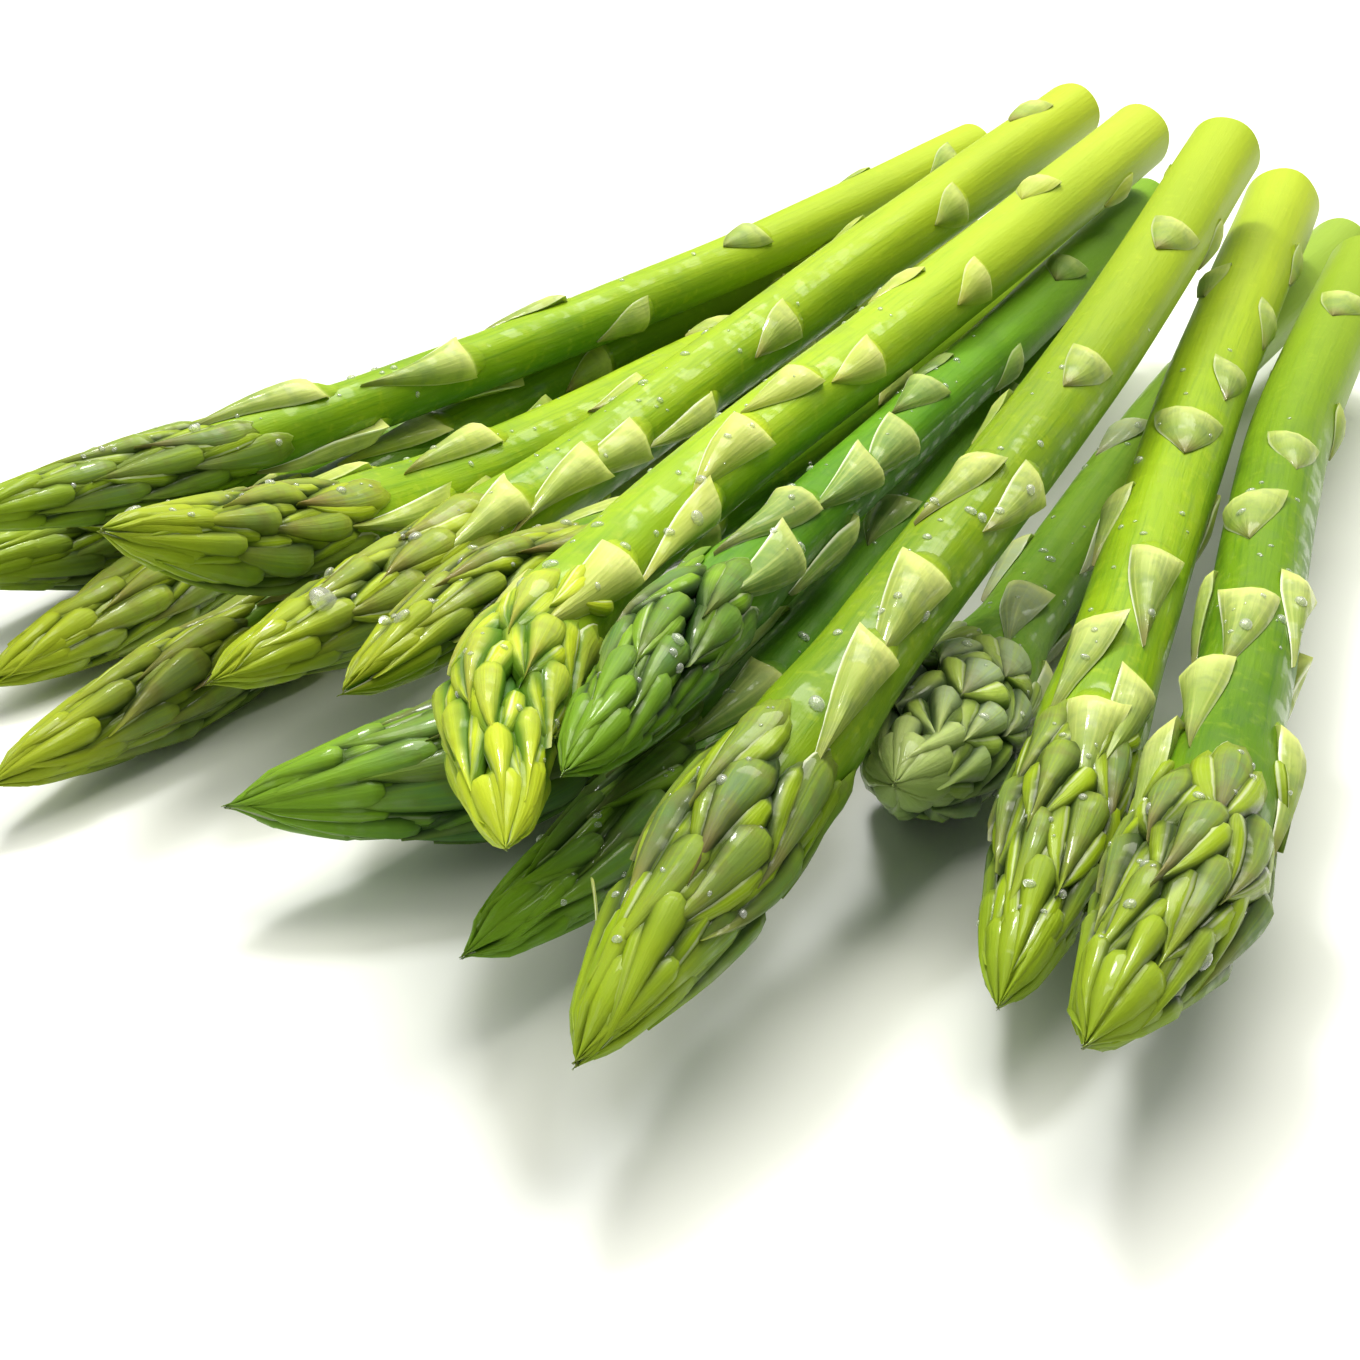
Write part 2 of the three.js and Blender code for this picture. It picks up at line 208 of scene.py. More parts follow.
class Spear:
    """The axis of a spear with its widths, at distances from the tip in millimetres."""

    def __init__(self, name, girth, plump, twist, look, openness, route, placed=(), stubby=1.0):
        self.name, self.girth, self.plump, self.look = name, girth, plump, look
        self.openness, self.stubby = openness, stubby
        self.twist = np.radians(twist)
        self.placed = [(rim, np.radians(angle), *size) for rim, angle, *size in placed]
        self.line = route_points(route)
        steps = np.linalg.norm(np.diff(self.line, axis=0), axis=1)
        self.run = np.concatenate([[0], np.cumsum(steps)])
        self.length = self.run[-1]

    def middle(self, from_tip):
        """The point of the route at that distance. Past the tip it goes straight on."""
        run = self.length - from_tip
        on_line = np.stack([np.interp(run, self.run, self.line[:, k]) for k in range(3)], -1)
        ahead = self.line[-1] - self.line[-LAST_POINTS]
        past = np.clip(-from_tip, 0, None)[..., None]
        return on_line + past * ahead / np.linalg.norm(ahead)

    def place(self, from_tip, angle, radius):
        """The point at that radius from the axis: the middle, plus up times the cosine of the
        angle, plus the side times its sine, each times the radius."""
        middle = self.middle(from_tip)
        along = self.middle(np.clip(from_tip - AIM_STEP, 0, None)) - self.middle(
            np.clip(from_tip + AIM_STEP, None, self.length))
        along /= np.linalg.norm(along, axis=-1, keepdims=True)
        side = np.cross(along, [0, 0, 1])
        side /= np.linalg.norm(side, axis=-1, keepdims=True)
        up = np.cross(side, along)
        out = up * np.cos(angle)[..., None] + side * np.sin(angle)[..., None]
        return middle + out * np.asarray(radius)[..., None]

    def stem(self, from_tip):
        """Half the girth at the cut end, and in a straight line down to the waist at the neck."""
        share = np.clip((from_tip - NECK_END) / (self.length - NECK_END), 0, 1)
        return self.girth / 2 * lerp(NECK_WAIST, 1, share)

    def outer(self, from_tip):
        """An ogive, which is a power of the distance from the tip, then an S-curve down to the
        stem."""
        full = self.girth / 2 * self.plump
        rise = (np.clip(from_tip, 0, None) / HEAD_FULL) ** OGIVE_POWER
        ogive = CAP_RADIUS + (full - CAP_RADIUS) * rise
        fall = smooth((from_tip - HEAD_FULL) / (NECK_END - HEAD_FULL))
        neck = lerp(full, self.stem(from_tip), fall)
        return np.where(from_tip < HEAD_FULL, ogive, neck)

    def core(self, from_tip):
        """The outer form less the depth of the scales, which is less at the tip and fades out on
        the neck."""
        fade = smooth((from_tip - HEAD_FULL) / (DEPTH_END - HEAD_FULL))
        share = np.clip(TIP_DEPTH + from_tip / HEAD_FULL, TIP_DEPTH, 1)
        depth = SCALE_DEPTH * share * (1 - fade)
        return np.maximum(self.outer(from_tip) - depth, CORE_LEAST)

    def skin(self, from_tip):
        """How far a scale may reach beside a neighbour: the outer form, or just over the core."""
        return np.maximum(self.outer(from_tip), self.core(from_tip) + PRESSED)

    def depth(self, from_tip):
        """How far the scales of the head stand off the core: less on the neck and at the tip."""
        neck = NECK_SCALE * smooth(from_tip / HEAD_FULL)
        return np.maximum(self.outer(from_tip) - self.core(from_tip), neck)


spears = {name: Spear(name, **values) for name, values in SPEARS.items()}
print("lengths, mm:", [round(s.length) for s in spears.values()])

# %% [markdown]
# ## Lying against each other
# Where two spears meet, or a spear meets the floor, the scales between them are pressed flat.
# Beads along every axis measure how much room there is at a point, and no scale is allowed
# more than half of it.

# %% Room between the spears
BEAD_STEP = 2
CLEAR = 0.35
BATCH = 4000
beads = {}
for name, spear in spears.items():
    from_tip = np.arange(0, spear.length, BEAD_STEP)
    beads[name] = (spear.middle(from_tip), spear.skin(from_tip))


def room_at(points, name):
    """The least distance from each point to the skin of another spear, or to the floor: for
    each bead the distance to its centre less its radius."""
    centres = np.vstack([beads[n][0] for n in spears if n != name])
    radii = np.concatenate([beads[n][1] for n in spears if n != name])
    room = points[:, 2] + CLEAR
    for start in range(0, len(points), BATCH):
        part = points[start:start + BATCH]
        square = (part**2).sum(1)[:, None] + (centres**2).sum(1) - 2 * part @ centres.T
        gap = (np.sqrt(np.clip(square, 0, None)) - radii).min(1)
        room[start:start + BATCH] = np.minimum(room[start:start + BATCH], gap)
    return room


print("beads:", sum(len(radii) for _, radii in beads.values()))

# %% [markdown]
# ## Hollows
# The grooves between the scales of a head lie in shade, and that shade is what makes each
# scale stand out, so the finish paints it into the colour as painted shade. A shader can find
# grooves with short rays, but it would trace them at every pixel. The points are all known here,
# so how deep each one lies among its neighbours is measured once, and kept on the mesh for the
# painted shade of the finish.

# %% Hollows
HOLLOW_CELL = 0.8


def hollows(from_tip, angle, height, girth):
    """How far each point lies under the highest skin near it. The skin is unrolled on a grid
    whose cells keep their greatest height, which is then spread to the neighbours and blurred
    with the weights 1, 2, 1."""
    columns = int(np.pi * girth / HOLLOW_CELL)
    row = np.clip(from_tip / HOLLOW_CELL, 0, None).astype(int) + 1
    column = np.floor(angle / (2 * np.pi) * columns).astype(int) % columns
    grid = np.zeros((row.max() + 2, columns))
    np.maximum.at(grid, (row, column), height)
    for axis in (0, 1):
        grid = np.maximum(grid, np.maximum(np.roll(grid, 1, axis), np.roll(grid, -1, axis)))
    for axis in (0, 1):
        grid = (2 * grid + np.roll(grid, 1, axis) + np.roll(grid, -1, axis)) / 4
    return grid[row, column] - height


print("size of a cell of the hollows, mm:", HOLLOW_CELL)

# %% [markdown]
# ## A growing surface
# A spear's mesh is put together from patches. A patch is a set of tubes: rows of points along,
# and a closed ring of points across, so it has no open edge once both ends are capped. Each
# point carries where it is in straight coordinates and what it belongs to, for the finish.
# Sculpting or modifiers could shape one scale, but the bundle has about two thousand of them,
# and arrays grow them all by one rule.

# %% Patches
KINDS = ("stem", "bract", "lobe", "paper", "cut")
COLUMNS = ("from_tip", "angle", "height", "along", "across", "chance", "rise", "kind")
LEAST_HEIGHT = 0.1
POINT_FROM = 4.0
POINT_REACH = 1.5
POINT_POWER = 0.6
POINT_LEAST = 0.02


class Growth:
    """Collects patches in straight coordinates, then bends them into one mesh."""

    def __init__(self, spear):
        self.spear = spear
        self.parts, self.faces, self.caps = [], [], []
        self.count = 0

    def add(self, from_tip, angle, height, kind, along=0.0, across=0.0, chance=0.0, rise=1.0):
        """Adds tubes given as arrays of shape (tubes, rows, ring). Height is above the core, and
        rise is the height as a share of the blade's own greatest."""
        given = (from_tip, angle, height, along, across, chance, rise, float(KINDS.index(kind)))
        shape = np.broadcast_shapes(*(np.shape(a) for a in given))
        self.parts.append(np.column_stack([np.broadcast_to(a, shape).ravel() for a in given]))
        tubes, rows, ring = shape
        index = self.count + np.arange(tubes * rows * ring).reshape(shape)
        turned = np.roll(index, -1, axis=2)
        quads = np.stack([index[:, :-1], turned[:, :-1], turned[:, 1:], index[:, 1:]], -1)
        self.faces.append(quads.reshape(-1, 4))
        self.caps += list(index[:, 0, ::-1]) + list(index[:, -1])
        self.count += tubes * rows * ring

    def table(self):
        """The columns of all patches together, by name."""
        return dict(zip(COLUMNS, np.vstack(self.parts).T))

    def bend(self, from_tip, angle, height, kind):
        """World points in millimetres, and how deep each lies in a hollow. A radius is the
        core's plus the height, and a scale's is held under the skin plus half of the room
        there. The last stretch narrows by a power of the distance to a fine point."""
        spear = self.spear
        core, skin = spear.core(from_tip), spear.skin(from_tip)
        room = room_at(spear.place(from_tip, angle, skin), spear.name)
        limit = np.maximum(skin + (room - CLEAR) / 2, core + LEAST_HEIGHT)
        blade = (kind != KINDS.index("stem")) & (kind != KINDS.index("cut"))
        radius = np.where(blade, np.minimum(core + height, limit), core + height)
        hollow = hollows(from_tip, angle, radius - core, spear.girth)
        share = (from_tip + POINT_REACH) / (POINT_FROM + POINT_REACH)
        radius = radius * np.clip(share, POINT_LEAST, 1) ** POINT_POWER
        points = spear.place(from_tip, angle, np.maximum(radius, 0))
        points[:, 2] = np.maximum(points[:, 2], 0)
        return points, hollow


print("kinds of surface:", *KINDS)

# %% [markdown]
# ## The stem
# The stem is one tube from the cut to the tip. Its outline is nearly round, with very shallow
# ribs and slow swellings. Inside the head it is the core that the scales stand on, which the
# finish paints dark as shade. The cut end is flat and slightly dished, as the knife and the air
# leave it.

# %% Stem surface
STEM_AROUND = 40
STEM_STEP = 1.6
STEM_TOP = 0.6
RIBS = ((0.012, 3, 41), (0.01, 5, -29))
SWELL = 0.012
SWELL_RUN = 7.5
CUT_DISH = 0.3
CUT_EDGE = 0.5
CUT_RINGS = np.array([1.0, 0.985, 0.93, 0.6, 0.3, 0.04])
CUT_INWARD = np.array([CUT_EDGE, 0.16, 0.0, CUT_DISH * 0.7, CUT_DISH, CUT_DISH])


def grow_stem(growth, rng):
    """Radius = core times 1 + ribs + swellings. A rib is a low sine round the stem that drifts
    along it, a swelling a sine along times a sine round. At the cut the outline shrinks ring by
    ring, over a rounded edge and into the dish."""
    spear = growth.spear
    rows = int(spear.length / STEM_STEP)
    from_tip = np.linspace(spear.length - CUT_EDGE, STEM_TOP, rows)[None, :, None]
    angle = np.linspace(0, 2 * np.pi, STEM_AROUND, endpoint=False)[None, None, :]
    shift = rng.uniform(0, 2 * np.pi, 4)
    waves = sum(low * np.sin(count * angle + start + from_tip / drift)
                for (low, count, drift), start in zip(RIBS, shift))
    waves = waves + SWELL * np.sin(from_tip / SWELL_RUN + shift[2]) * np.sin(angle + shift[3])
    growth.add(from_tip, angle, spear.core(from_tip) * waves, "stem")

    share = CUT_RINGS[None, :, None]
    end = spear.length - CUT_INWARD[None, :, None]
    height = (spear.core(end) * (1 + waves[:, :1])) * share - spear.core(end)
    growth.add(end[:, ::-1], angle, height[:, ::-1], "cut", across=share[:, ::-1])


print("points round a stem:", STEM_AROUND, "and rings on the cut:", len(CUT_RINGS))

# %% [markdown]
# ## The outline and the dome of a scale
# Every scale and lobe is the same kind of surface: it starts at its butt, which faces the cut
# end, and runs to a point that faces the tip. Its outline gives the half width at each share s
# of its length, and its dome the height there at t, which runs from -1 to 1 across. The fleshy
# scales of the head are round hoods, and the lobes beside them are plump teardrops.

# %% Fleshy scales
LEAST_WIDTH = 0.015
SHOULDER = (0.16, 0.3)
LOBE_FULL = 0.34
LOBE_TAPER = 0.66
LOBE_LEAST = 0.03
FLOOR_SHARE = 0.2


def round_over(t, power=0.5):
    """1 in the middle and a fifth at the sides: with the power 0.5, half of an ellipse."""
    return FLOOR_SHARE + (1 - FLOOR_SHARE) * np.clip(1 - t * t, 0, 1) ** power


def bract_outline(s, spade):
    """A squarish butt, a power of a quarter sine, then a taper. With spade 0 the sides stay
    full, with spade 1 they sweep in to a long narrow point."""
    shoulder = lerp(*SHOULDER, spade)
    butt = np.sin(np.pi / 2 * np.clip(s / shoulder, 0, 1)) ** lerp(0.6, 0.75, spade)
    x = np.clip((s - shoulder) / (1 - shoulder), 0, 1)
    full = (1 - x**1.7) * (1 - 0.16 * x)
    swept = (1 - x) ** 1.6 * 0.86 + 0.14 * (1 - x)
    return (0.4 + 0.6 * butt) * lerp(full, swept, spade) + LEAST_WIDTH


def bract_dome(s, t, spade):
    """Round across, with a faint keel. It rises quickly from the butt and sinks by the square
    of s towards the point, which lies over the butts of younger scales."""
    lengthwise = 0.3 + 0.7 * smooth(s / 0.16) - 0.14 * s * s
    keel = 0.05 * np.exp(-((t / 0.25) ** 2)) * (1 - s)
    return lengthwise * (round_over(t) + keel)


def lobe_outline(s, spade):
    """A teardrop, full at a third of its length: a power of a quarter sine, then a taper."""
    x = np.clip((s - LOBE_FULL) / LOBE_TAPER, 0, 1)
    butt = np.sin(np.pi / 2 * np.clip(s / LOBE_FULL, 0, 1)) ** 0.6
    return butt * (1 - x**1.7) + LOBE_LEAST


def lobe_dome(s, t, spade):
    """Half of an ellipse across, round at the butt and a little lower at the point."""
    return (0.35 + 0.65 * smooth(s / 0.25)) * (1 - 0.12 * s) * round_over(t)


print("a hood at half its length is", round(float(bract_outline(0.5, 0)), 2), "of its width")

# %% [markdown]
# The papery scales down the stem are thin triangles that puff up over a young bud and lie
# against the stem at their margins. The stem swells a little behind each of them, and one
# corner of the butt turns up and catches the light.

# %% Papery scales
SWELLING = 0.22


def paper_outline(s, flare):
    """Broad at the butt, then with flare 0 full and blunt, with flare 1 drawn out to a point.
    Behind the butt, where s is negative, it is the swelling of the stem, rounded off by the
    square of s."""
    x = np.clip(s, 0, 1)
    taper = (1 - x) ** lerp(0.6, 1.25, np.abs(flare))
    blade = taper * (1 + 0.9 * x * (1 - x)) + LEAST_WIDTH
    return np.where(s < 0, 1 - 0.55 * (s / SWELLING) ** 2, blade)


def paper_dome(s, t, flare):
    """A puffed hood, highest near the butt, with thin margins and a bell-shaped keel. At the
    butt it is flatter across, and one corner stands up by a power of t. The swelling behind it
    rises on an S-curve and stays a little lower."""
    x = np.clip(s, 0, 1)
    hood = (0.84 + 0.16 * smooth(x / 0.1)) * (0.2 + 0.8 * (1 - x) ** 0.8)
    puff = 0.1 + 0.9 * np.clip(1 - (t / 0.97) ** 2, 0, 1) ** 0.8
    puff = puff + 0.14 * np.exp(-((t / 0.3) ** 2)) * smooth(x / 0.2)
    hood = hood * lerp(1 - 0.62 * t * t, puff, smooth(x / 0.22))
    corner = np.clip(t * np.sign(flare), 0, 1) ** 2.2 * (1 - smooth(x / 0.45))
    hood = hood + 0.75 * np.abs(flare) * corner
    swelling = 0.66 * smooth(1 + s / SWELLING) * np.clip(1 - t * t, 0, 1) ** 0.8 - 0.06
    return np.where(s < 0, swelling, hood)


print("height of a papery scale in its middle:", round(float(paper_dome(0.5, 0.0, 0.5)), 2))

# %% [markdown]
# ## Scales as tubes
# One function grows any number of scales at once. The ring across each has its points on top
# and two underneath. Those two start inside the stem and rise near the point, so a scale
# leaves the stem as a thin tongue and lies over the next ones. The rows and the points of a
# ring stand closer together where the surface turns fastest.

# %% Growing the scales
ACROSS = np.array([-1, -0.93, -0.72, -0.38, 0, 0.38, 0.72, 0.93, 1, 0.55, -0.55])
ALONG = np.array([0, 0.04, 0.11, 0.2, 0.31, 0.44, 0.57, 0.7, 0.82, 0.92, 1.0])
LOBE_ACROSS = np.array([-1, -0.85, -0.45, 0, 0.45, 0.85, 1, 0.5, -0.5])
LOBE_ALONG = np.array([0, 0.06, 0.18, 0.34, 0.52, 0.7, 0.87, 1.0])
PAPER_ALONG = np.array([-SWELLING, -0.15, -0.08, -0.012, 0.012, 0.06, 0.13, 0.23, 0.36, 0.5,
                        0.65, 0.8, 0.92, 1])
SHAPES = {
    "bract": (bract_outline, bract_dome, ALONG, ACROSS),
    "lobe": (lobe_outline, lobe_dome, LOBE_ALONG, LOBE_ACROSS),
    "paper": (paper_outline, paper_dome, PAPER_ALONG, ACROSS),
}
UNDER = 2
SUNK = -0.5
THICK = 0.55
FREE_FROM, FREE_OVER = 0.5, 0.4
RADIUS_LEAST = 1.0
TURN_MOST = 1.3
HORN = 1.1
HEAD_HORN = 0.8
WAVE = 0.08


def grow_blades(growth, kind, rim, angle, length, width, lift, rng, bow=0.0, sway=0.0, shape=0.0,
                bright_side=1, on_stem=False):
    """Each argument is one number per blade. Rim is how far the butt is from the tip. The lift
    is in depths of the head, and on the stem in millimetres. The angle across is half the
    width times the outline times t over the radius. The middle line starts bow to one side and
    comes back by the point, and sways away by the square of the share of the length. The
    corners of the butt reach back by the cube of t, as horns. The bright side is the one that
    gets the pale margin."""
    rim, angle, length, width, lift, bow, sway, shape = (
        np.broadcast_to(a, np.shape(rim)).astype(float)[:, None, None]
        for a in (rim, angle, length, width, lift, bow, sway, shape))
    outline, dome, along, across = SHAPES[kind]
    s, t = along[None, :, None], across[None, None, :]
    from_tip = rim - s * length
    radius = np.maximum(growth.spear.core(from_tip) + 0.5 * lift, RADIUS_LEAST)
    turn = np.clip(0.5 * width * outline(s, shape) / radius, 0, TURN_MOST) * t
    drift = (bow * (1 - np.clip(s, 0, 1) ** 1.6) + sway * s * s) / radius
    horn = HORN if kind == "paper" else HEAD_HORN * HORN * smooth((rim - 20) / 15)
    if kind != "lobe":
        from_tip = from_tip + horn * (np.abs(t) ** 3 - 0.2) * (1 - smooth(np.abs(s) / 0.25))
    wave = 1 + WAVE * np.sin(3 * t + rng.uniform(0, 6, rim.shape) + 4 * s)
    unit = 1.0 if kind == "paper" or on_stem else growth.spear.depth(from_tip)
    rise = dome(s, t, shape) * wave
    top = unit * lift * rise
    free = smooth((s - FREE_FROM) / FREE_OVER)
    under = lerp(SUNK, np.maximum(top - THICK, SUNK), free)
    below = np.arange(across.size)[None, None, :] >= across.size - UNDER
    growth.add(from_tip, angle + turn + drift, np.where(below, under, top), kind, along=s,
               across=t * bright_side, chance=rng.uniform(0, 1, rim.shape),
               rise=np.where(below, 0, rise))


print("points in a scale:", {kind: len(a) * len(b) for kind, (_, _, a, b) in SHAPES.items()})

# %% [markdown]
# ## The head
# The head is a spiral of small clusters, a golden angle apart and closer towards the tip. A
# cluster has a grey-green scale like a hood, two bright lobes that bow out on both sides of
# it, and two small ones that look out under its point. All their points meet, and its butt
# lies under the points of older clusters. In a tight head the hoods hide nearly all, in an
# open one the lobes show. A stubby head has shorter scales, which overlap less and look like
# knobs. The last scales are slender and run together into the tip.

# %% Clusters of a head
GOLDEN_ANGLE = np.pi * (3 - np.sqrt(5))
HOOD_WIDTH = (0.84, 0.58)
HOOD_SWAY = 0.9
HOOD_BOW = 0.4
HOOD_SPADE = (0.4, 1.1)
LOBES_FROM = 17
LOBE_START = (0.1, 0.24)
LOBE_END = 0.94
LOBE_WIDTH = 0.46
LOBE_LIFT = (0.72, 0.92)
LOBE_BOW = (0.28, 0.36)
BUD = dict(start=0.42, length=0.53, width=0.3, lift=0.68, bow=0.15)


def grow_cluster(growth, rim, angle, length, width, lift, openness, rng):
    """The hoods, then on each side a lobe and a small bud. Their sizes and bows are shares of
    the cluster's length and width."""
    sway = rng.normal(0, HOOD_SWAY, len(rim))
    hood_width = width * lerp(*HOOD_WIDTH, openness)
    grow_blades(growth, "bract", rim, angle, length, hood_width, lift, rng, sway=sway,
                bow=rng.normal(0, HOOD_BOW, len(rim)),
                shape=openness * rng.uniform(*HOOD_SPADE, len(rim)))
    low = rim > LOBES_FROM
    rim, angle, length, width, lift, sway = (
        a[low] for a in (rim, angle, length, width, lift, sway))
    for side in (-1, 1):
        start = rng.uniform(*LOBE_START, len(rim))
        grow_blades(growth, "lobe", rim - start * length, angle, length * (LOBE_END - start),
                    width * LOBE_WIDTH, lift * rng.uniform(*LOBE_LIFT, len(rim)), rng, sway=sway,
                    bow=side * width * lerp(*LOBE_BOW, openness), bright_side=-side)
        grow_blades(growth, "lobe", rim - BUD["start"] * length, angle, length * BUD["length"],
                    width * BUD["width"], lift * BUD["lift"], rng, sway=sway,
                    bow=side * width * BUD["bow"], bright_side=-side)


print("golden angle, degrees:", round(float(np.degrees(GOLDEN_ANGLE)), 1))

# %% Head
HEAD_CLUSTERS = 27
HEAD_FOOT = 48.5
HEAD_TOP = 12.5
HEAD_CROWDING = 1.12
USUAL_HEAD = 14.4
CLUSTER_LENGTH = 20
SLENDER_SCALES = 7
SLENDER_FROM = 14
SLENDER_WIDTH = 4.0


def grow_head(growth, rng):
    """The butts run up from the foot by a power of the share left, so they crowd at the top.
    Widths grow in a straight line with the distance from the tip."""
    spear = growth.spear
    i = np.arange(HEAD_CLUSTERS)
    share = i / (HEAD_CLUSTERS - 1)
    rim = HEAD_FOOT * (1 - share) ** HEAD_CROWDING + HEAD_TOP * share
    rim = rim + rng.normal(0, 0.35, HEAD_CLUSTERS)
    angle = spear.twist + i * GOLDEN_ANGLE + rng.normal(0, 0.08, HEAD_CLUSTERS)
    fat = spear.girth * spear.plump / USUAL_HEAD
    width = (2.7 + 0.115 * rim) * fat * rng.uniform(0.9, 1.1, HEAD_CLUSTERS)
    length = np.minimum(rim + rng.uniform(-1.5, 1.2, HEAD_CLUSTERS),
                        CLUSTER_LENGTH * fat**0.5 * spear.stubby)
    lift = rng.uniform(0.94, 1.16, HEAD_CLUSTERS)
    grow_cluster(growth, rim, angle, length, width, lift, spear.openness, rng)

    turn = np.arange(SLENDER_SCALES) * 2 * np.pi / SLENDER_SCALES
    turn = turn + rng.normal(0, 0.12, SLENDER_SCALES)
    rim = (SLENDER_FROM + rng.uniform(-2.5, 2.5, SLENDER_SCALES)) * spear.stubby
    length = rim + rng.uniform(0, 1.4, SLENDER_SCALES)
    grow_blades(growth, "bract", rim, turn, length, SLENDER_WIDTH * fat, 0.9, rng)


print("clusters in a head:", HEAD_CLUSTERS, "and slender scales at its tip:", SLENDER_SCALES)

# %% [markdown]
# ## The scales on the stem
# Down the stem the same spiral goes on, but the scales are papery, and they stand further and
# further apart because that part of the stem has grown longest. Near the head some of them
# are pushed open by the plump buds that grow under them.

# %% Places on the stem
STEM_SCALE_FIRST = 51
STEM_SCALE_STEP = 6
STEM_SCALE_GROWTH = 1.4
STEM_SCALE_STEP_MAX = 20
STEM_SCALE_APART = 10
BARE_END = 12


def stem_spots(spear):
    """The placed scales, then those of the spiral that keep clear of them: rim, angle, size.
    The distance round the stem is the chord, which is twice the radius times the sine of half
    the angle."""
    spots = [(*spot, 1.0)[:3] for spot in spear.placed]
    rim, step, i = STEM_SCALE_FIRST, STEM_SCALE_STEP, 1
    while rim < spear.length - BARE_END:
        angle = spear.twist - i * GOLDEN_ANGLE
        across = [2 * spear.stem(rim) * np.sin((angle - spot[1]) / 2) for spot in spear.placed]
        if all(np.hypot(rim - spot[0], d) > STEM_SCALE_APART
               for spot, d in zip(spear.placed, across)):
            spots.append((rim, angle, 1.0))
        rim, i = rim + step, i + 1
        step = min(step + STEM_SCALE_GROWTH, STEM_SCALE_STEP_MAX)
    return np.array(spots).T


print("scales on each stem:", [stem_spots(spear).shape[1] for spear in spears.values()])

# %% Papery scales and their buds
STEM_SCALE = ((21, 8.5), (6.2, 7.2), (2.0, 1.1))
STEM_SCALE_LONG = 64
STEM_SCALE_FADE = 75
STEM_SCALE_LIFT = 1.15
FAR_LONGER = 1.15
FAR_CALM = 0.4
POD_LIMIT = 62
POD_WIDTH = 0.36
PODS = ((0.26, 0.5, 0.4, 0.7), (0.36, 0.42, 0.28, 0.78), (0.3, 0.4, -0.36, 0.6))


def grow_paper(growth, rng):
    """Long scales near the head and small ones far from it: the length, width and lift of each
    fade in a straight line from the first to the second number of their pair. A pod is a lobe
    under a scale, with its start, length, bow and lift as shares of the scale's."""
    spear = growth.spear
    rim, angle, size = stem_spots(spear)
    fade = smooth((rim - STEM_SCALE_LONG) / STEM_SCALE_FADE)
    length, width, lift = (lerp(near, far, fade) for near, far in STEM_SCALE)
    width = width * size * rng.uniform(0.92, 1.2, len(rim))
    length = length * lerp(1, FAR_LONGER, fade)
    calm = lerp(1, FAR_CALM, fade)
    sway = rng.choice([-1, 1], len(rim)) * rng.uniform(1.0, 3.2, len(rim)) * calm
    flare = rng.choice([-1, 1], len(rim)) * rng.uniform(0.4, 1, len(rim)) * calm
    grow_blades(growth, "paper", rim, angle, length, width, STEM_SCALE_LIFT * lift, rng,
                sway=sway, shape=flare)
    pod = (rim < POD_LIMIT) & (rng.uniform(0, 1, len(rim)) < 1.6 * spear.openness - 0.7)
    side = np.where(rng.uniform(0, 1, len(rim)) < 0.5, -1, 1)[pod]
    for back, long, bow, thick in PODS:
        grow_blades(growth, "lobe", (rim - back * length)[pod], angle[pod], (long * length)[pod],
                    (POD_WIDTH * width)[pod], thick * lift[pod], rng,
                    bow=side * (bow * width)[pod], sway=sway[pod], on_stem=True)


print("length of a scale near the head, mm:", STEM_SCALE[0][0])

# %% [markdown]
# Beside the head of the nearest spear a dry sliver of a scale has come loose and stands off.
# It is a flat tube of its own, in the same straight coordinates as the rest.

# %% Dry sliver
HUSK_SPEAR = "spear_15"
HUSK_TURN = np.radians(100)
HUSK_FROM_TO = (21.5, 8.5)
HUSK_STAND = 3.6
HUSK_HALF = 0.8
HUSK_THIN = 0.2
HUSK_ROWS, HUSK_RING = 14, 8


def grow_husk(growth):
    """Its middle line leaves the skin by the square of the share of its length and waves by a
    sine. Its half width narrows in a straight line to the free end."""
    spear = growth.spear
    share = np.linspace(1, 0, HUSK_ROWS)[None, :, None]
    ring = np.linspace(0, 2 * np.pi, HUSK_RING, endpoint=False)[None, None, :]
    from_tip = lerp(HUSK_FROM_TO[1], HUSK_FROM_TO[0], share)
    outer = spear.outer(from_tip)
    half = HUSK_HALF * (1 - 0.7 * share)
    turn = HUSK_TURN + (half * np.cos(ring) + 0.6 * np.sin(5 * share)) / outer
    height = outer - spear.core(from_tip) + HUSK_STAND * share**2 - HUSK_THIN * np.sin(ring)
    growth.add(from_tip, turn, height, "paper", along=1 - share, across=np.abs(np.cos(ring)),
               chance=0.5)


print("the sliver is", HUSK_FROM_TO[0] - HUSK_FROM_TO[1], "mm long")

# %% [markdown]
# ## From surface to mesh
# The arrays go into the mesh as they are. What a point belongs to, where it lies on its scale
# and how deep it lies stay on the mesh as attributes, and the finish reads them. The straight
# coordinates are kept too, so the fine lines of the skin follow the spear round every bend.

# %% Building the pieces
SEED = 11
SHARP_EDGE = 62


def add_object(name, points, faces, sharp):
    """A mesh in metres from points in millimetres, smooth but for edges over the angle sharp,
    and its object at the origin."""
    mesh = bpy.data.meshes.new(name)
    mesh.from_pydata(points * MM, [], faces)
    mesh.polygons.foreach_set("use_smooth", np.ones(len(faces), bool))
    mesh.set_sharp_from_angle(angle=np.radians(sharp))
    made = bpy.data.objects.new(name, mesh)
    bpy.context.scene.collection.objects.link(made)
    return made


def triangle_count(piece):
    """A face of n corners is n - 2 triangles."""
    corners = np.zeros(len(piece.data.polygons), np.int32)
    piece.data.polygons.foreach_get("loop_total", corners)
    return int((corners - 2).sum())


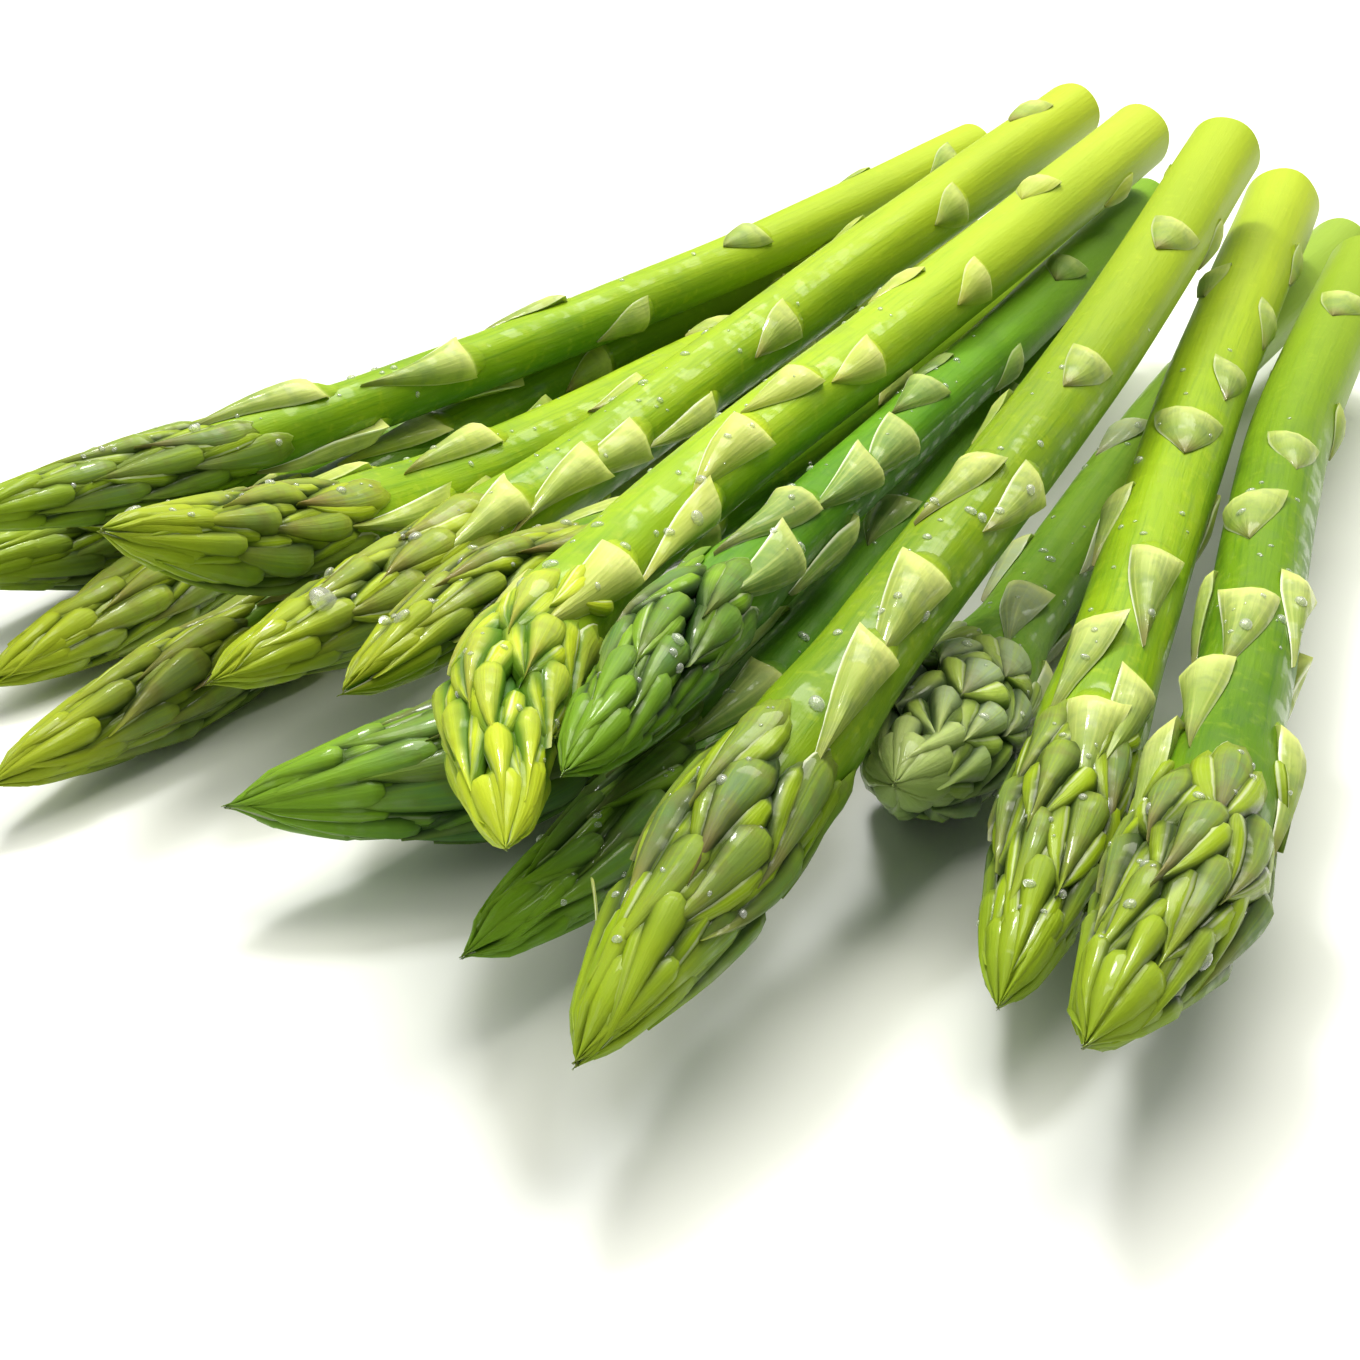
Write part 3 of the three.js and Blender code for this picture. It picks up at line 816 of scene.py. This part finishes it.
def build(name, growth):
    """The mesh of one spear, with its attributes. Straight is the point before bending: the
    core's radius times the cosine and the sine of the angle, and the distance from the tip."""
    t = growth.table()
    points, hollow = growth.bend(t["from_tip"], t["angle"], t["height"], t["kind"])
    faces = np.vstack(growth.faces).tolist() + [cap.tolist() for cap in growth.caps]
    piece = add_object(name, points, faces, SHARP_EDGE)
    core = growth.spear.core(t["from_tip"])
    straight = (np.cos(t["angle"]) * core, np.sin(t["angle"]) * core, t["from_tip"])
    blade = (t["along"], t["across"], t["chance"])
    for label, values in (("straight", straight), ("blade", blade)):
        piece.data.attributes.new(label, "FLOAT_VECTOR", "POINT").data.foreach_set(
            "vector", np.column_stack(values).astype(np.float32).ravel())
    masks = {kind: t["kind"] == number for number, kind in enumerate(KINDS)}
    for label, values in {**masks, "rise": t["rise"], "hollow": hollow}.items():
        piece.data.attributes.new(label, "FLOAT", "POINT").data.foreach_set(
            "value", values.astype(np.float32))
    piece.data.validate()
    return piece


pieces = {}
for number, (name, spear) in enumerate(spears.items()):
    rng = np.random.default_rng(SEED + number)
    growth = Growth(spear)
    grow_stem(growth, rng)
    grow_head(growth, rng)
    grow_paper(growth, rng)
    if name == HUSK_SPEAR:
        grow_husk(growth)
    pieces[name] = build("fine_" + name, growth)
triangles = [triangle_count(piece) for piece in pieces.values()]
print("triangles:", sum(triangles), "most in one:", max(triangles))

# %% [markdown]
# ## Shader arithmetic
# Patterns are easier to read as sums than as a drawing of nodes. A Wire stands for one output
# socket: arithmetic on it adds Math nodes, and `node` adds any other node, with its settings
# first and then the values or wires of its sockets.

# %% Wires


def fill(node, inputs):
    """Each socket of a node gets its value, or a link from its wire."""
    for key, value in inputs.items():
        if isinstance(value, Wire):
            value.tree.links.new(value.socket, node.inputs[key])
        else:
            node.inputs[key].default_value = value


class Wire:
    """One output socket of a node in a tree."""

    def __init__(self, tree, socket=None):
        self.tree, self.socket = tree, socket

    def node(self, kind, settings, inputs, output=0):
        """A wire from a new node of that kind."""
        made = self.tree.nodes.new(kind)
        for key, value in settings.items():
            setattr(made, key, value)
        fill(made, inputs)
        return Wire(self.tree, made.outputs[output])

    def math(self, operation, *values):
        """A Math node on these values."""
        return self.node("ShaderNodeMath", {"operation": operation}, dict(enumerate(values)))

    def __abs__(self):
        return self.math("ABSOLUTE", self)

    def __add__(self, other):
        return self.math("ADD", self, other)

    def __rsub__(self, other):
        return self.math("SUBTRACT", other, self)

    def __mul__(self, other):
        return self.math("MULTIPLY", self, other)

    __radd__, __rmul__ = __add__, __mul__

    def ramp(self, low, high):
        """0 below low, 1 above high, an S-curve between."""
        return self.node("ShaderNodeMapRange", {"interpolation_type": "SMOOTHSTEP"},
                         {"Value": self, "From Min": low, "From Max": high})

    def band(self, low, full, fading, gone):
        """A rise from low to full, times 1 less the rise from fading to gone."""
        return self.ramp(low, full) * (1 - self.ramp(fading, gone))

    def mix(self, a, b):
        """Colour a where this is 0 and colour b where it is 1."""
        return self.node("ShaderNodeMix", {"data_type": "RGBA"}, {0: self, 6: a, 7: b}, output=2)

    def numbers(self):
        """The three numbers of a vector, as wires."""
        parts = self.node("ShaderNodeSeparateXYZ", {}, {0: self}).socket.node
        return [Wire(self.tree, socket) for socket in parts.outputs]

    def noise(self, scale, detail=2.0, stretch=(1, 1, 1)):
        """Smooth noise over this vector, drawn out where the stretch is small."""
        scaled = self.node("ShaderNodeVectorMath", {"operation": "MULTIPLY"},
                           {0: self, 1: stretch})
        return self.node("ShaderNodeTexNoise", {},
                         {"Vector": scaled, "Scale": scale, "Detail": detail})


def attribute(tree, name, output="Vector"):
    """A wire from what the mesh keeps under that name."""
    return Wire(tree).node("ShaderNodeAttribute", {"attribute_name": name}, {}, output=output)


def new_material(name):
    """A material with nodes, and its shader."""
    material = bpy.data.materials.new(name)
    material.use_nodes = True
    return material, material.node_tree.nodes["Principled BSDF"]


def colour(text):
    """A linear colour from sRGB written as RRGGBB: dark values are divided, and the others go
    through a power of 2.4."""
    srgb = np.array([int(text[k:k + 2], 16) / 255 for k in (0, 2, 4)])
    linear = np.where(srgb < 0.04045, srgb / 12.92, ((srgb + 0.055) / 1.055) ** 2.4)
    return (*linear.tolist(), 1.0)


print("a stem green as linear light:", [round(value, 3) for value in colour("6b9210")])

# %% [markdown]
# ## The greens
# The spears of one bundle differ: some are a bright yellow-green, some deep green, and one
# grey with bloom. The deep look is partly painted shade, darker for the spears that lie low in
# the heap. A look is a set of tones, as RRGGBB. Stem, deep and pale are for the stem, where deep
# is the skin's darker patches and lines and also a painted shade on the underside of the stem
# and the head; paper and husk are for its scales. Bract, dull and point are for the hoods of
# the head, lobe for the buds, slender for the tip, and core, a painted shade, for the darkness
# between scales and inside the head. Two of the looks change only the stem of another.

# %% Looks
TONES = ("stem", "deep", "pale", "paper", "husk", "bract", "dull", "point",
         "lobe", "core", "slender")
LOOKS = {look: dict(zip(TONES, row.split())) for look, row in {
    "green": "6b9210 275f16 9cb42c c6d17a 93a850 8a9f32 708856 7c6c46 9ab21c 08290e 9db41c",
    "bright": "83a012 357014 b6c92e ccd578 98ab4c 869c2e 668252 7c6a44 94ae18 082a10 9fb61a",
    "fresh": "9ebc1c 417c18 bfcc38 cfd87c 9db050 9fae30 839652 857042 a8ba20 0b2e10 b0be22",
    "yellow": "a6c422 62981a bfcd40 d8dc84 b0bd58 bccb3a a9ba50 9c9640 c8d82a 3c7016 ccd82a",
    # deep: a deep green that is partly painted shade, darker for the spears low in the heap
    "deep": "669b1c 2b6c19 82a82c b0c070 7f9a4c 779a34 5f834a 6a673a 80aa20 082c10 7ea61e",
    "grey": "7ea62c 4f8424 9cb444 bfca90 98a474 b2c28c a0b396 8f8968 b4ca58 15381a b0c070",
}.items()}
LOOKS["olive"] = {**LOOKS["fresh"], "stem": "739a12", "deep": "2a6417", "pale": "a2b82e"}
LOOKS["leafy"] = {**LOOKS["green"], "stem": "96b61a", "deep": "3c7818", "pale": "bccb36"}
IN_ALL_LOOKS = dict(margin="eef2d4", butt="e4ea8c", cut_face="c9d392")
print("looks:", *LOOKS)

# %% [markdown]
# ## What the finish reads
# Every tone below follows the mesh and not the camera: how far a point is from the tip, where
# it lies on its own scale, how high and how deep. Each scale also has a chance of its own from
# 0 to 1, so that no two are alike. Long noises along the stem make its fine lines, and slow
# ones its patches. Two masks are painted shade: the underside of a spear, and the groove,
# which is what is low on its own scale or hollow among its neighbours, where shade falls.

# %% Reading the mesh
VEINS = (1.1, 7.0, 40.0)


class Skin:
    """The wires and the tones from which the finish of one look is mixed."""

    def __init__(self, tree, look):
        named = {**LOOKS[look], **IN_ALL_LOOKS}
        self.tones = {name: colour(text) for name, text in named.items()}
        self.straight, blade = attribute(tree, "straight"), attribute(tree, "blade")
        self.along, self.across, self.chance = blade.numbers()
        upward, _, self.from_tip = self.straight.numbers()
        self.is_on = {kind: attribute(tree, kind, "Fac") for kind in KINDS[1:]}

        self.patches = self.straight.noise(0.09, 3.0, (1, 1, 0.5))
        self.lines = self.straight.noise(1.6, 3.0, (1, 1, 0.05))
        self.fine = self.straight.noise(4.5, 2.0, (1, 1, 0.12))
        self.veins = blade.noise(1.0, 2.0, VEINS)
        self.mottle = self.straight.noise(0.55, 3.0)

        # Painted shade: the lower side of each spear, away from the light above, is mixed towards
        # the deep tone.
        self.painted_underside_shade = 1 - upward.ramp(-3.5, 4.5)
        self.outward = abs(self.across)
        self.margin = self.outward.ramp(0.88, 0.98)
        self.one_side = self.across.ramp(0.5, 0.9)
        # Painted shade: the groove darkens what lies low on its own scale or hollow among its
        # neighbours, where shade falls.
        hollow = attribute(tree, "hollow", "Fac").ramp(0.1, 0.75)
        painted_groove_shade = 1 - attribute(tree, "rise", "Fac").ramp(0.42, 0.93) * (1 - 0.85 * hollow)
        painted_groove_shade = painted_groove_shade * (0.35 + 0.65 * self.from_tip.ramp(2, 12))
        self.painted_groove_shade = painted_groove_shade * (1 - 0.8 * self.from_tip.ramp(36, 46))

    def coats(self, base, *rows):
        """Lays tones over a base, one after another. A row is a mask, how strong the tone is
        where the mask is 1, and the tone's name."""
        for mask, strength, tone in rows:
            share = mask if strength == 1 else mask * strength
            base = share.mix(base, self.tones[tone])
        return base


kept = pieces["spear_01"].data.attributes.keys()
print("what the mesh keeps:", [name for name in kept if not name.startswith(".")])

# %% [markdown]
# ## The skin of asparagus
# The stem is a satin yellow-green skin with fine lines along it, painted deeper underneath as
# shade, and paler towards the cut end. Inside the head it is painted nearly black-green as
# shade, because only the shadowed gaps between the scales show it. The cut face is pale, with
# strands that run out to a greener rim.

# %% Stem and cut face


def stem_colour(skin):
    """Coats of deeper and paler green, the deeper one partly a painted shade on the underside,
    then the core's dark, a painted shade, where the scales of the head cover it.
    """
    return skin.coats(
        skin.tones["stem"],
        (skin.patches.ramp(0.38, 0.68), 0.45, "deep"),
        # painted shade on the underside
        (skin.painted_underside_shade, 0.75, "deep"),
        (skin.lines.ramp(0.45, 0.75), 0.35, "deep"),
        (skin.mottle.ramp(0.55, 0.75), 0.25, "pale"),
        (skin.from_tip.ramp(90, 230), 0.75, "pale"),
        # painted shade: the stem inside the head is near-black, as only shadowed gaps show it
        (skin.from_tip.band(8, 16, 33, 41), 1, "core"))


def cut_colour(skin):
    """Strands from a noise that changes only round the face, and the rim by the distance from
    the middle."""
    strands = skin.straight.noise(1.1, 1.0, (1, 1, 0)).ramp(0.5, 0.68)
    return skin.coats(
        skin.tones["cut_face"],
        (strands, 0.45, "pale"),
        (skin.outward.ramp(0.7, 1.0), 0.8, "pale"))


print("coats on:", stem_colour.__name__, cut_colour.__name__)

# %% [markdown]
# The hoods of the head are a dull waxy green down the middle that turns brown-violet towards
# the point, and the buds between them are the brightest green of all. Both are painted darker
# on the underside of the spear and run down to the core's dark in the grooves, and both of
# these are painted shade. Many hoods have one pale margin, and a bud has a pale fold beside a
# dark crease of painted shade, because it is a bundle of smaller leaves.

# %% Hoods and buds


def hood_colour(skin):
    """Coats by the share of the length, the chance and the noises, then the painted shade of the
    underside and of the groove, and the pale margin."""
    middle = 1 - skin.outward.ramp(0.25, 0.9)
    return skin.coats(
        skin.tones["bract"],
        (skin.along.ramp(0.0, 0.35) * middle * (0.3 + 0.7 * skin.chance), 1, "dull"),
        (skin.veins.ramp(0.42, 0.72), 0.45, "lobe"),
        (skin.mottle.ramp(0.45, 0.7), 0.3, "point"),
        (skin.along.ramp(0.35, 0.95) * (0.35 + 0.65 * skin.chance), 1, "point"),
        (1 - skin.from_tip.ramp(9, 22), 0.85, "slender"),
        # painted shade on the underside
        (skin.painted_underside_shade, 0.5, "deep"),
        # painted shade in the grooves
        (skin.painted_groove_shade, 0.94, "core"),
        (skin.margin * skin.one_side * skin.chance.ramp(0.2, 0.6), 0.7, "margin"))


def bud_colour(skin):
    """As the hoods, with the pale fold and the dark crease, a painted shade, as bands across."""
    fold = skin.across.band(0.18, 0.28, 0.32, 0.42) * skin.along.ramp(0.06, 0.2)
    painted_crease_shade = skin.across.band(0.4, 0.48, 0.52, 0.62) * skin.along.ramp(0.06, 0.2)
    return skin.coats(
        skin.tones["lobe"],
        (skin.along.ramp(0.3, 1.0) * skin.chance, 1, "bract"),
        (skin.veins.ramp(0.45, 0.75), 0.3, "paper"),
        # painted shade in the crease under the fold
        (fold, 0.45, "margin"),
        (painted_crease_shade, 0.55, "core"),
        # painted shade on the underside
        (skin.painted_underside_shade, 0.5, "deep"),
        # painted shade in the grooves
        (skin.painted_groove_shade, 0.94, "core"),
        (skin.margin * skin.one_side, 0.65, "margin"))


print("coats on:", hood_colour.__name__, bud_colour.__name__)

# %% [markdown]
# The scales on the stem are papery and pale, almost white at their margins, and each has a
# yellow butt and a browner point. The yellow butt is partly the pale young scale and partly a
# painted highlight on its raised edge, and the greener sides are a painted shade of the puffed
# flanks. Butt and margin are strongest near the head, where the scales are young. Behind the
# butt the stem's own colour comes back over the swelling.

# %% Papery scales' colour


def paper_colour(skin, stem):
    """Pale at the butt and greener along, and greener still at the sides, which is a painted
    shade of the hood's flanks. The yellow of the butt, partly a painted highlight on its raised
    edge, and the white of the margin are multiplied by how near the head is."""
    near = 1 - skin.from_tip.ramp(75, 130)
    edge = skin.margin * (0.2 + 0.8 * skin.one_side) * skin.along.ramp(0.02, 0.12)
    paper = skin.coats(
        skin.along.ramp(0.02, 0.5).mix(skin.tones["paper"], skin.tones["husk"]),
        # painted shade: the flanks of the scale turn greener and darker
        (skin.outward.ramp(0.25, 0.95), 0.5, "bract"),
        (skin.mottle.ramp(0.4, 0.7), 0.4, "dull"),
        (skin.veins.ramp(0.45, 0.7) * near, 0.25, "butt"),
        (skin.along.ramp(0.6, 1.0) * (0.25 + 0.6 * skin.chance), 1, "point"),
        # partly painted highlight: the bright butt edge, over the pale young butt
        ((1 - skin.along.ramp(0.02, 0.16)) * near, 0.6, "butt"),
        (edge * (0.3 + 0.7 * near), 1, "margin"))
    behind = skin.coats(stem, (skin.along.ramp(-0.2, -0.02), 0.5, "slender"))
    return skin.along.ramp(-0.05, 0.012).mix(behind, paper)


print("coats on:", paper_colour.__name__)

# %% [markdown]
# The skin is waxy rather than glossy: its own gloss is broad and weak, and the sharp gloss is a
# coat of water in patches near the head. A little light gets under the surface everywhere,
# which is what makes it look fresh.

# %% Skin finish
SKIN_GLOSS = {
    "Subsurface Weight": 0.1, "Subsurface Radius": (0.6, 1.0, 0.15), "Subsurface Scale": 0.0015,
    "IOR": 1.42, "Specular IOR Level": 0.22, "Specular Tint": (0.92, 1.0, 0.6, 1),
    "Coat Roughness": 0.07}
RELIEF = {"Strength": 0.4, "Distance": 0.0004}


def skin_material(name, look):
    """The colour of each kind of surface over the stem's, a rougher cut and rougher scales, wet
    patches by a slow noise, and a relief of lines and veins."""
    material, shader = new_material(name)
    skin = Skin(material.node_tree, look)
    stem = stem_colour(skin)
    base = skin.is_on["bract"].mix(stem, hood_colour(skin))
    base = skin.is_on["lobe"].mix(base, bud_colour(skin))
    base = skin.is_on["paper"].mix(base, paper_colour(skin, stem))
    base = skin.is_on["cut"].mix(base, cut_colour(skin))

    rough = 0.36 + 0.14 * skin.patches + 0.1 * skin.is_on["bract"]
    rough = rough + 0.06 * skin.is_on["paper"] + 0.2 * skin.is_on["cut"]
    wet = skin.straight.noise(0.3, 3.0).ramp(0.46, 0.6)
    coat = (0.02 + 0.5 * wet) * (1 - skin.from_tip.ramp(110, 170))
    scales = skin.is_on["bract"] + skin.is_on["lobe"] + skin.is_on["paper"]
    relief = 0.5 * skin.lines + 0.25 * skin.fine + 0.5 * skin.veins * scales
    bump = relief.node("ShaderNodeBump", {}, {**RELIEF, "Height": relief})
    fill(shader, {"Base Color": base, "Roughness": rough, "Coat Weight": coat, "Normal": bump})
    fill(shader, SKIN_GLOSS)
    return material


skins = {look: skin_material("skin_" + look, look) for look in LOOKS}
for number, (name, piece) in enumerate(pieces.items(), 1):
    piece.data.materials.append(skins[spears[name].look])
    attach(piece, "root")
    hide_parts(name)
print("finishes:", [material.name for material in skins.values()])

# %% [markdown]
# ## Water drops
# The spears have just been rinsed. A drop on the waxy skin is a flattened dome that meets it at
# a steep angle. A particle system could scatter drops, but they would not be part of the mesh,
# so the domes are computed and joined in one piece. A small drop has few faces.

# %% Dome of a drop
DROP_FLAT = 0.6
DROP_TUCK = 110
DROP_STRETCH = (0.85, 1.2)


def drop_domes(sites, rings, sides, first_index, rng):
    """Vertices and faces of flattened domes. At the polar angle p a ring has the radius sin p
    and the height cos p times the flatness, and each dome is stretched along the skin."""
    centres, normals, radii = sites
    polar = np.radians(np.linspace(0, DROP_TUCK, rings + 1))[1:, None]
    turn = np.linspace(0, 2 * np.pi, sides, endpoint=False)[None, :]
    ring = [np.sin(polar) * np.cos(turn), np.sin(polar) * np.sin(turn),
            DROP_FLAT * np.cos(polar) + 0 * turn]
    dome = np.vstack([[0, 0, DROP_FLAT], np.stack(ring, -1).reshape(-1, 3)])
    first = np.cross(normals, rng.normal(0, 1, normals.shape))
    first /= np.linalg.norm(first, axis=1, keepdims=True)
    frames = np.stack([first, np.cross(normals, first), normals], 1)
    stretch = rng.uniform(*DROP_STRETCH, len(radii))
    size = radii[:, None] * np.stack([stretch, 1 / stretch, np.ones(len(radii))], -1)
    points = centres[:, None] + np.einsum("dpk,dkx->dpx", dome[None] * size[:, None], frames)

    grid = 1 + np.arange(rings * sides).reshape(rings, sides)
    turned = np.roll(grid, -1, axis=1)
    top = np.stack([np.zeros(sides, int), grid[0], turned[0]], -1)
    wall = np.stack([grid[:-1], grid[1:], turned[1:], turned[:-1]], -1).reshape(-1, 4)
    starts = first_index + (np.arange(len(radii)) * len(dome))[:, None, None]
    faces = [face for part in (top, wall, grid[-1:, ::-1])
             for face in (part[None] + starts).reshape(-1, part.shape[1]).tolist()]
    return points.reshape(-1, 3), faces


print("a drop tucks in past its widest ring by", DROP_TUCK - 90, "degrees")

# %% [markdown]
# A ray from outside finds the skin under each drop, so it sits on whatever scale lies there.
# The large drops are placed: the number of the spear, the distance from the tip, the angle and
# the radius. A seeded draw scatters small ones over the backs of the upper spears.

# %% Places of the drops
DROP_SEED = 5
LARGE_DROP = (7, 18)
SMALL_DROP = (3, 9)
OUTSIDE = 25.0
GRAZING = -0.5
DROP_SHARP = 80
DROP_ROOM = (1.3, 0.4)
PLACED_DROPS = np.array([
    (11, 7, 62, 1.35), (12, 36, -16, 0.8), (13, 17, -20, 2.1), (13, 22, 23, 1.0),
    (9, 11.5, 0, 1.1), (13, 34.5, -10, 0.9), (14, 48.5, 15, 0.9), (14, 77, -42, 0.75),
    (14, 71, -69, 0.95), (14, 86, -25, 0.5), (10, 20.5, -60, 0.6), (10, 55, -60, 0.8),
    (3, 68, -24, 0.75),
    (15, 93.5, -50, 0.65), (15, 90, -24, 0.7), (15, 100, -60, 0.75), (15, 70, -57, 0.7),
    (15, 65.5, -15, 0.5), (15, 47, -20, 0.95), (15, 46, -36, 0.75), (15, 60.5, 15, 0.6),
    (7, 74.5, 5, 0.9), (7, 21, 22, 0.6), (7, 34, 4, 0.6), (6, 19, -48, 0.6), (6, 35, -2, 0.7),
    (8, 14, -40, 0.6), (8, 66, -30, 0.7)])
SPRINKLED = (3, 6, 7, 8, 9, 10, 11, 12, 13, 14, 15)
SCATTER = 34
SCATTER_FROM, SCATTER_REACH = 8, 150
SCATTER_ANGLE, SCATTER_WIDEST = 38, 80
SMALL_RADIUS = (0.2, 0.85)
SMALL_MEDIAN, SMALL_SPREAD = 0.34, 0.42


def drop_sites(table):
    """Rows of spear number, distance, angle in degrees and radius become points and normals on
    the skin. A drop is left out where the ray grazes, or where another spear is too near."""
    sites = []
    for number, from_tip, angle, radius in table:
        name = "spear_%02d" % number
        here, turn = np.array([from_tip]), np.radians([angle])
        axis, outside = (spears[name].place(here, turn, reach)[0] for reach in (0.0, OUTSIDE))
        inward = Vector((axis - outside) / np.linalg.norm(axis - outside))
        hit, point, normal, _ = pieces[name].ray_cast(Vector(outside * MM), inward)
        if hit and normal.dot(inward) < GRAZING and point.z > radius * MM:
            sites.append((*(np.array(point) / MM), *normal, radius, number))
    sites = np.array(sites)
    per_radius, least = DROP_ROOM
    clear = [room_at(site[None, :3], "spear_%02d" % site[7])[0] > per_radius * site[6] + least
             for site in sites]
    sites = sites[clear]
    return sites[:, :3], sites[:, 3:6], sites[:, 6]


def scattered(rng):
    """Rows for the small drops: distances by a beta curve that favours the head, angles by a
    bell curve about the back, and radii by a log-normal one."""
    numbers = np.repeat(SPRINKLED, SCATTER)
    count = len(numbers)
    from_tip = SCATTER_FROM + SCATTER_REACH * rng.beta(1.1, 2.0, count)
    angle = np.clip(rng.normal(0, SCATTER_ANGLE, count), -SCATTER_WIDEST, SCATTER_WIDEST)
    radius = SMALL_MEDIAN * np.exp(rng.normal(0, SMALL_SPREAD, count))
    return np.column_stack([numbers, from_tip, angle, np.clip(radius, *SMALL_RADIUS)])


bpy.context.view_layer.update()
rng = np.random.default_rng(DROP_SEED)
small_drops = scattered(rng)
large_points, large_faces = drop_domes(drop_sites(PLACED_DROPS), *LARGE_DROP, 0, rng)
small_points, small_faces = drop_domes(
    drop_sites(small_drops), *SMALL_DROP, len(large_points), rng)
drops = add_object("water_drops", np.vstack([large_points, small_points]),
                   large_faces + small_faces, DROP_SHARP)
print("drop faces:", len(drops.data.polygons), "triangles:", triangle_count(drops))

# %% [markdown]
# Water is clear with a sharp gloss, but it gathers the light of the whole studio, so a small
# drop reads as a pale spot. The shader is mostly glass with water's index and partly white, and
# that white is a painted glow standing in for the gathered light. It thins out where the drop is
# seen face on, so light still reaches the green below.

# %% Water finish
# The white base colour is a painted glow that stands in for the light a drop gathers.
WATER_GLASS_AND_PAINTED_GLOW = {
    "Base Color": (0.98, 1.0, 0.97, 1), "Roughness": 0.02, "IOR": 1.33,
    "Transmission Weight": 0.65, "Coat Weight": 1.0, "Coat Roughness": 0.02}
water, shader = new_material("water")
fill(shader, WATER_GLASS_AND_PAINTED_GLOW)
rim = Wire(water.node_tree).node("ShaderNodeLayerWeight", {}, {"Blend": 0.35}, output=1)
fill(shader, {"Alpha": 0.66 + 0.32 * rim})
drops.data.materials.append(water)
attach(drops, "root")
print("water lets through", WATER_GLASS_AND_PAINTED_GLOW["Transmission Weight"])

# %% [markdown]
# ## The studio
# A plain pale floor carries the heap. It is one face, far wider than the view, and only stages
# the object.

# %% Floor
FLOOR_HALF = 4.0
floor_mesh = bpy.data.meshes.new("floor")
floor_mesh.from_pydata([(-FLOOR_HALF, -FLOOR_HALF, 0), (FLOOR_HALF, -FLOOR_HALF, 0),
                        (FLOOR_HALF, FLOOR_HALF, 0), (-FLOOR_HALF, FLOOR_HALF, 0)],
                       [], [(0, 1, 2, 3)])
floor = bpy.data.objects.new("floor", floor_mesh)
bpy.context.scene.collection.objects.link(floor)
floor_material, paint = new_material("pale_floor")
fill(paint, {"Base Color": (0.86, 0.87, 0.86, 1), "Roughness": 0.7})
floor_mesh.materials.append(floor_material)
print("floor, m wide:", 2 * FLOOR_HALF)

# %% [markdown]
# Three area lights are enough. A large warm one behind the heap rakes over the stems and casts
# soft shadows to the front. A small one beside it puts crisp glints on wet skin, and a weak one
# fills in from the front left. The surround only lifts the shadows.

# %% Lights
SURROUND = (0.97, 1.0, 1.0, 1)
SURROUND_STRENGTH = 0.28


def area_light(name, place, target, size, power, tint=(1, 1, 1)):
    """A square light at a place in metres, turned to face the target, with its power in
    watts."""
    lamp = bpy.data.lights.new(name, "AREA")
    lamp.size, lamp.energy, lamp.color = size, power, tint
    light = bpy.data.objects.new(name, lamp)
    light.location = place
    light.rotation_euler = (Vector(target) - Vector(place)).to_track_quat("-Z", "Y").to_euler()
    bpy.context.scene.collection.objects.link(light)


area_light("key", (-0.05, 0.4, 0.9), (0, -0.02, 0), 0.9, 14.2, (1.0, 0.98, 0.86))
area_light("spark", (-0.3, 0.3, 0.8), (0, -0.02, 0), 0.16, 3.2)
area_light("fill", (-0.4, -0.75, 0.75), (0, -0.05, 0), 0.9, 3.8, (1.0, 0.99, 0.86))

world = bpy.data.worlds.new("surround")
bpy.context.scene.world = world
world.use_nodes = True
fill(world.node_tree.nodes["Background"], {"Color": SURROUND, "Strength": SURROUND_STRENGTH})
bpy.context.scene.view_settings.view_transform = "Standard"
print("lights:", [light.name for light in bpy.data.lights])

# %% [markdown]
# The camera stands to the front and right of the heads, nearly half as high as it is far
# away, and looks down across the heap. Its direction is worked out from two angles: how far it
# is turned to the left, and how far it is tilted down.

# %% Camera
CAMERA_PLACE = Vector((116.7, -260.5, 128.9)) * MM
CAMERA_TURN = np.radians(28.0)
CAMERA_DOWN = np.radians(28.21)
LENS = 54.73
SENSOR = 36
NEAREST = 0.01
camera = bpy.data.objects.new("camera", bpy.data.cameras.new("camera"))
camera.data.lens, camera.data.sensor_width = LENS, SENSOR
camera.data.clip_start = NEAREST
camera.location = CAMERA_PLACE
level = np.cos(CAMERA_DOWN)
aim = Vector((-np.sin(CAMERA_TURN) * level, np.cos(CAMERA_TURN) * level, -np.sin(CAMERA_DOWN)))
camera.rotation_euler = aim.to_track_quat("-Z", "Y").to_euler()
bpy.context.scene.collection.objects.link(camera)
bpy.context.scene.camera = camera
print("camera, m above the floor:", round(camera.location.z, 3))
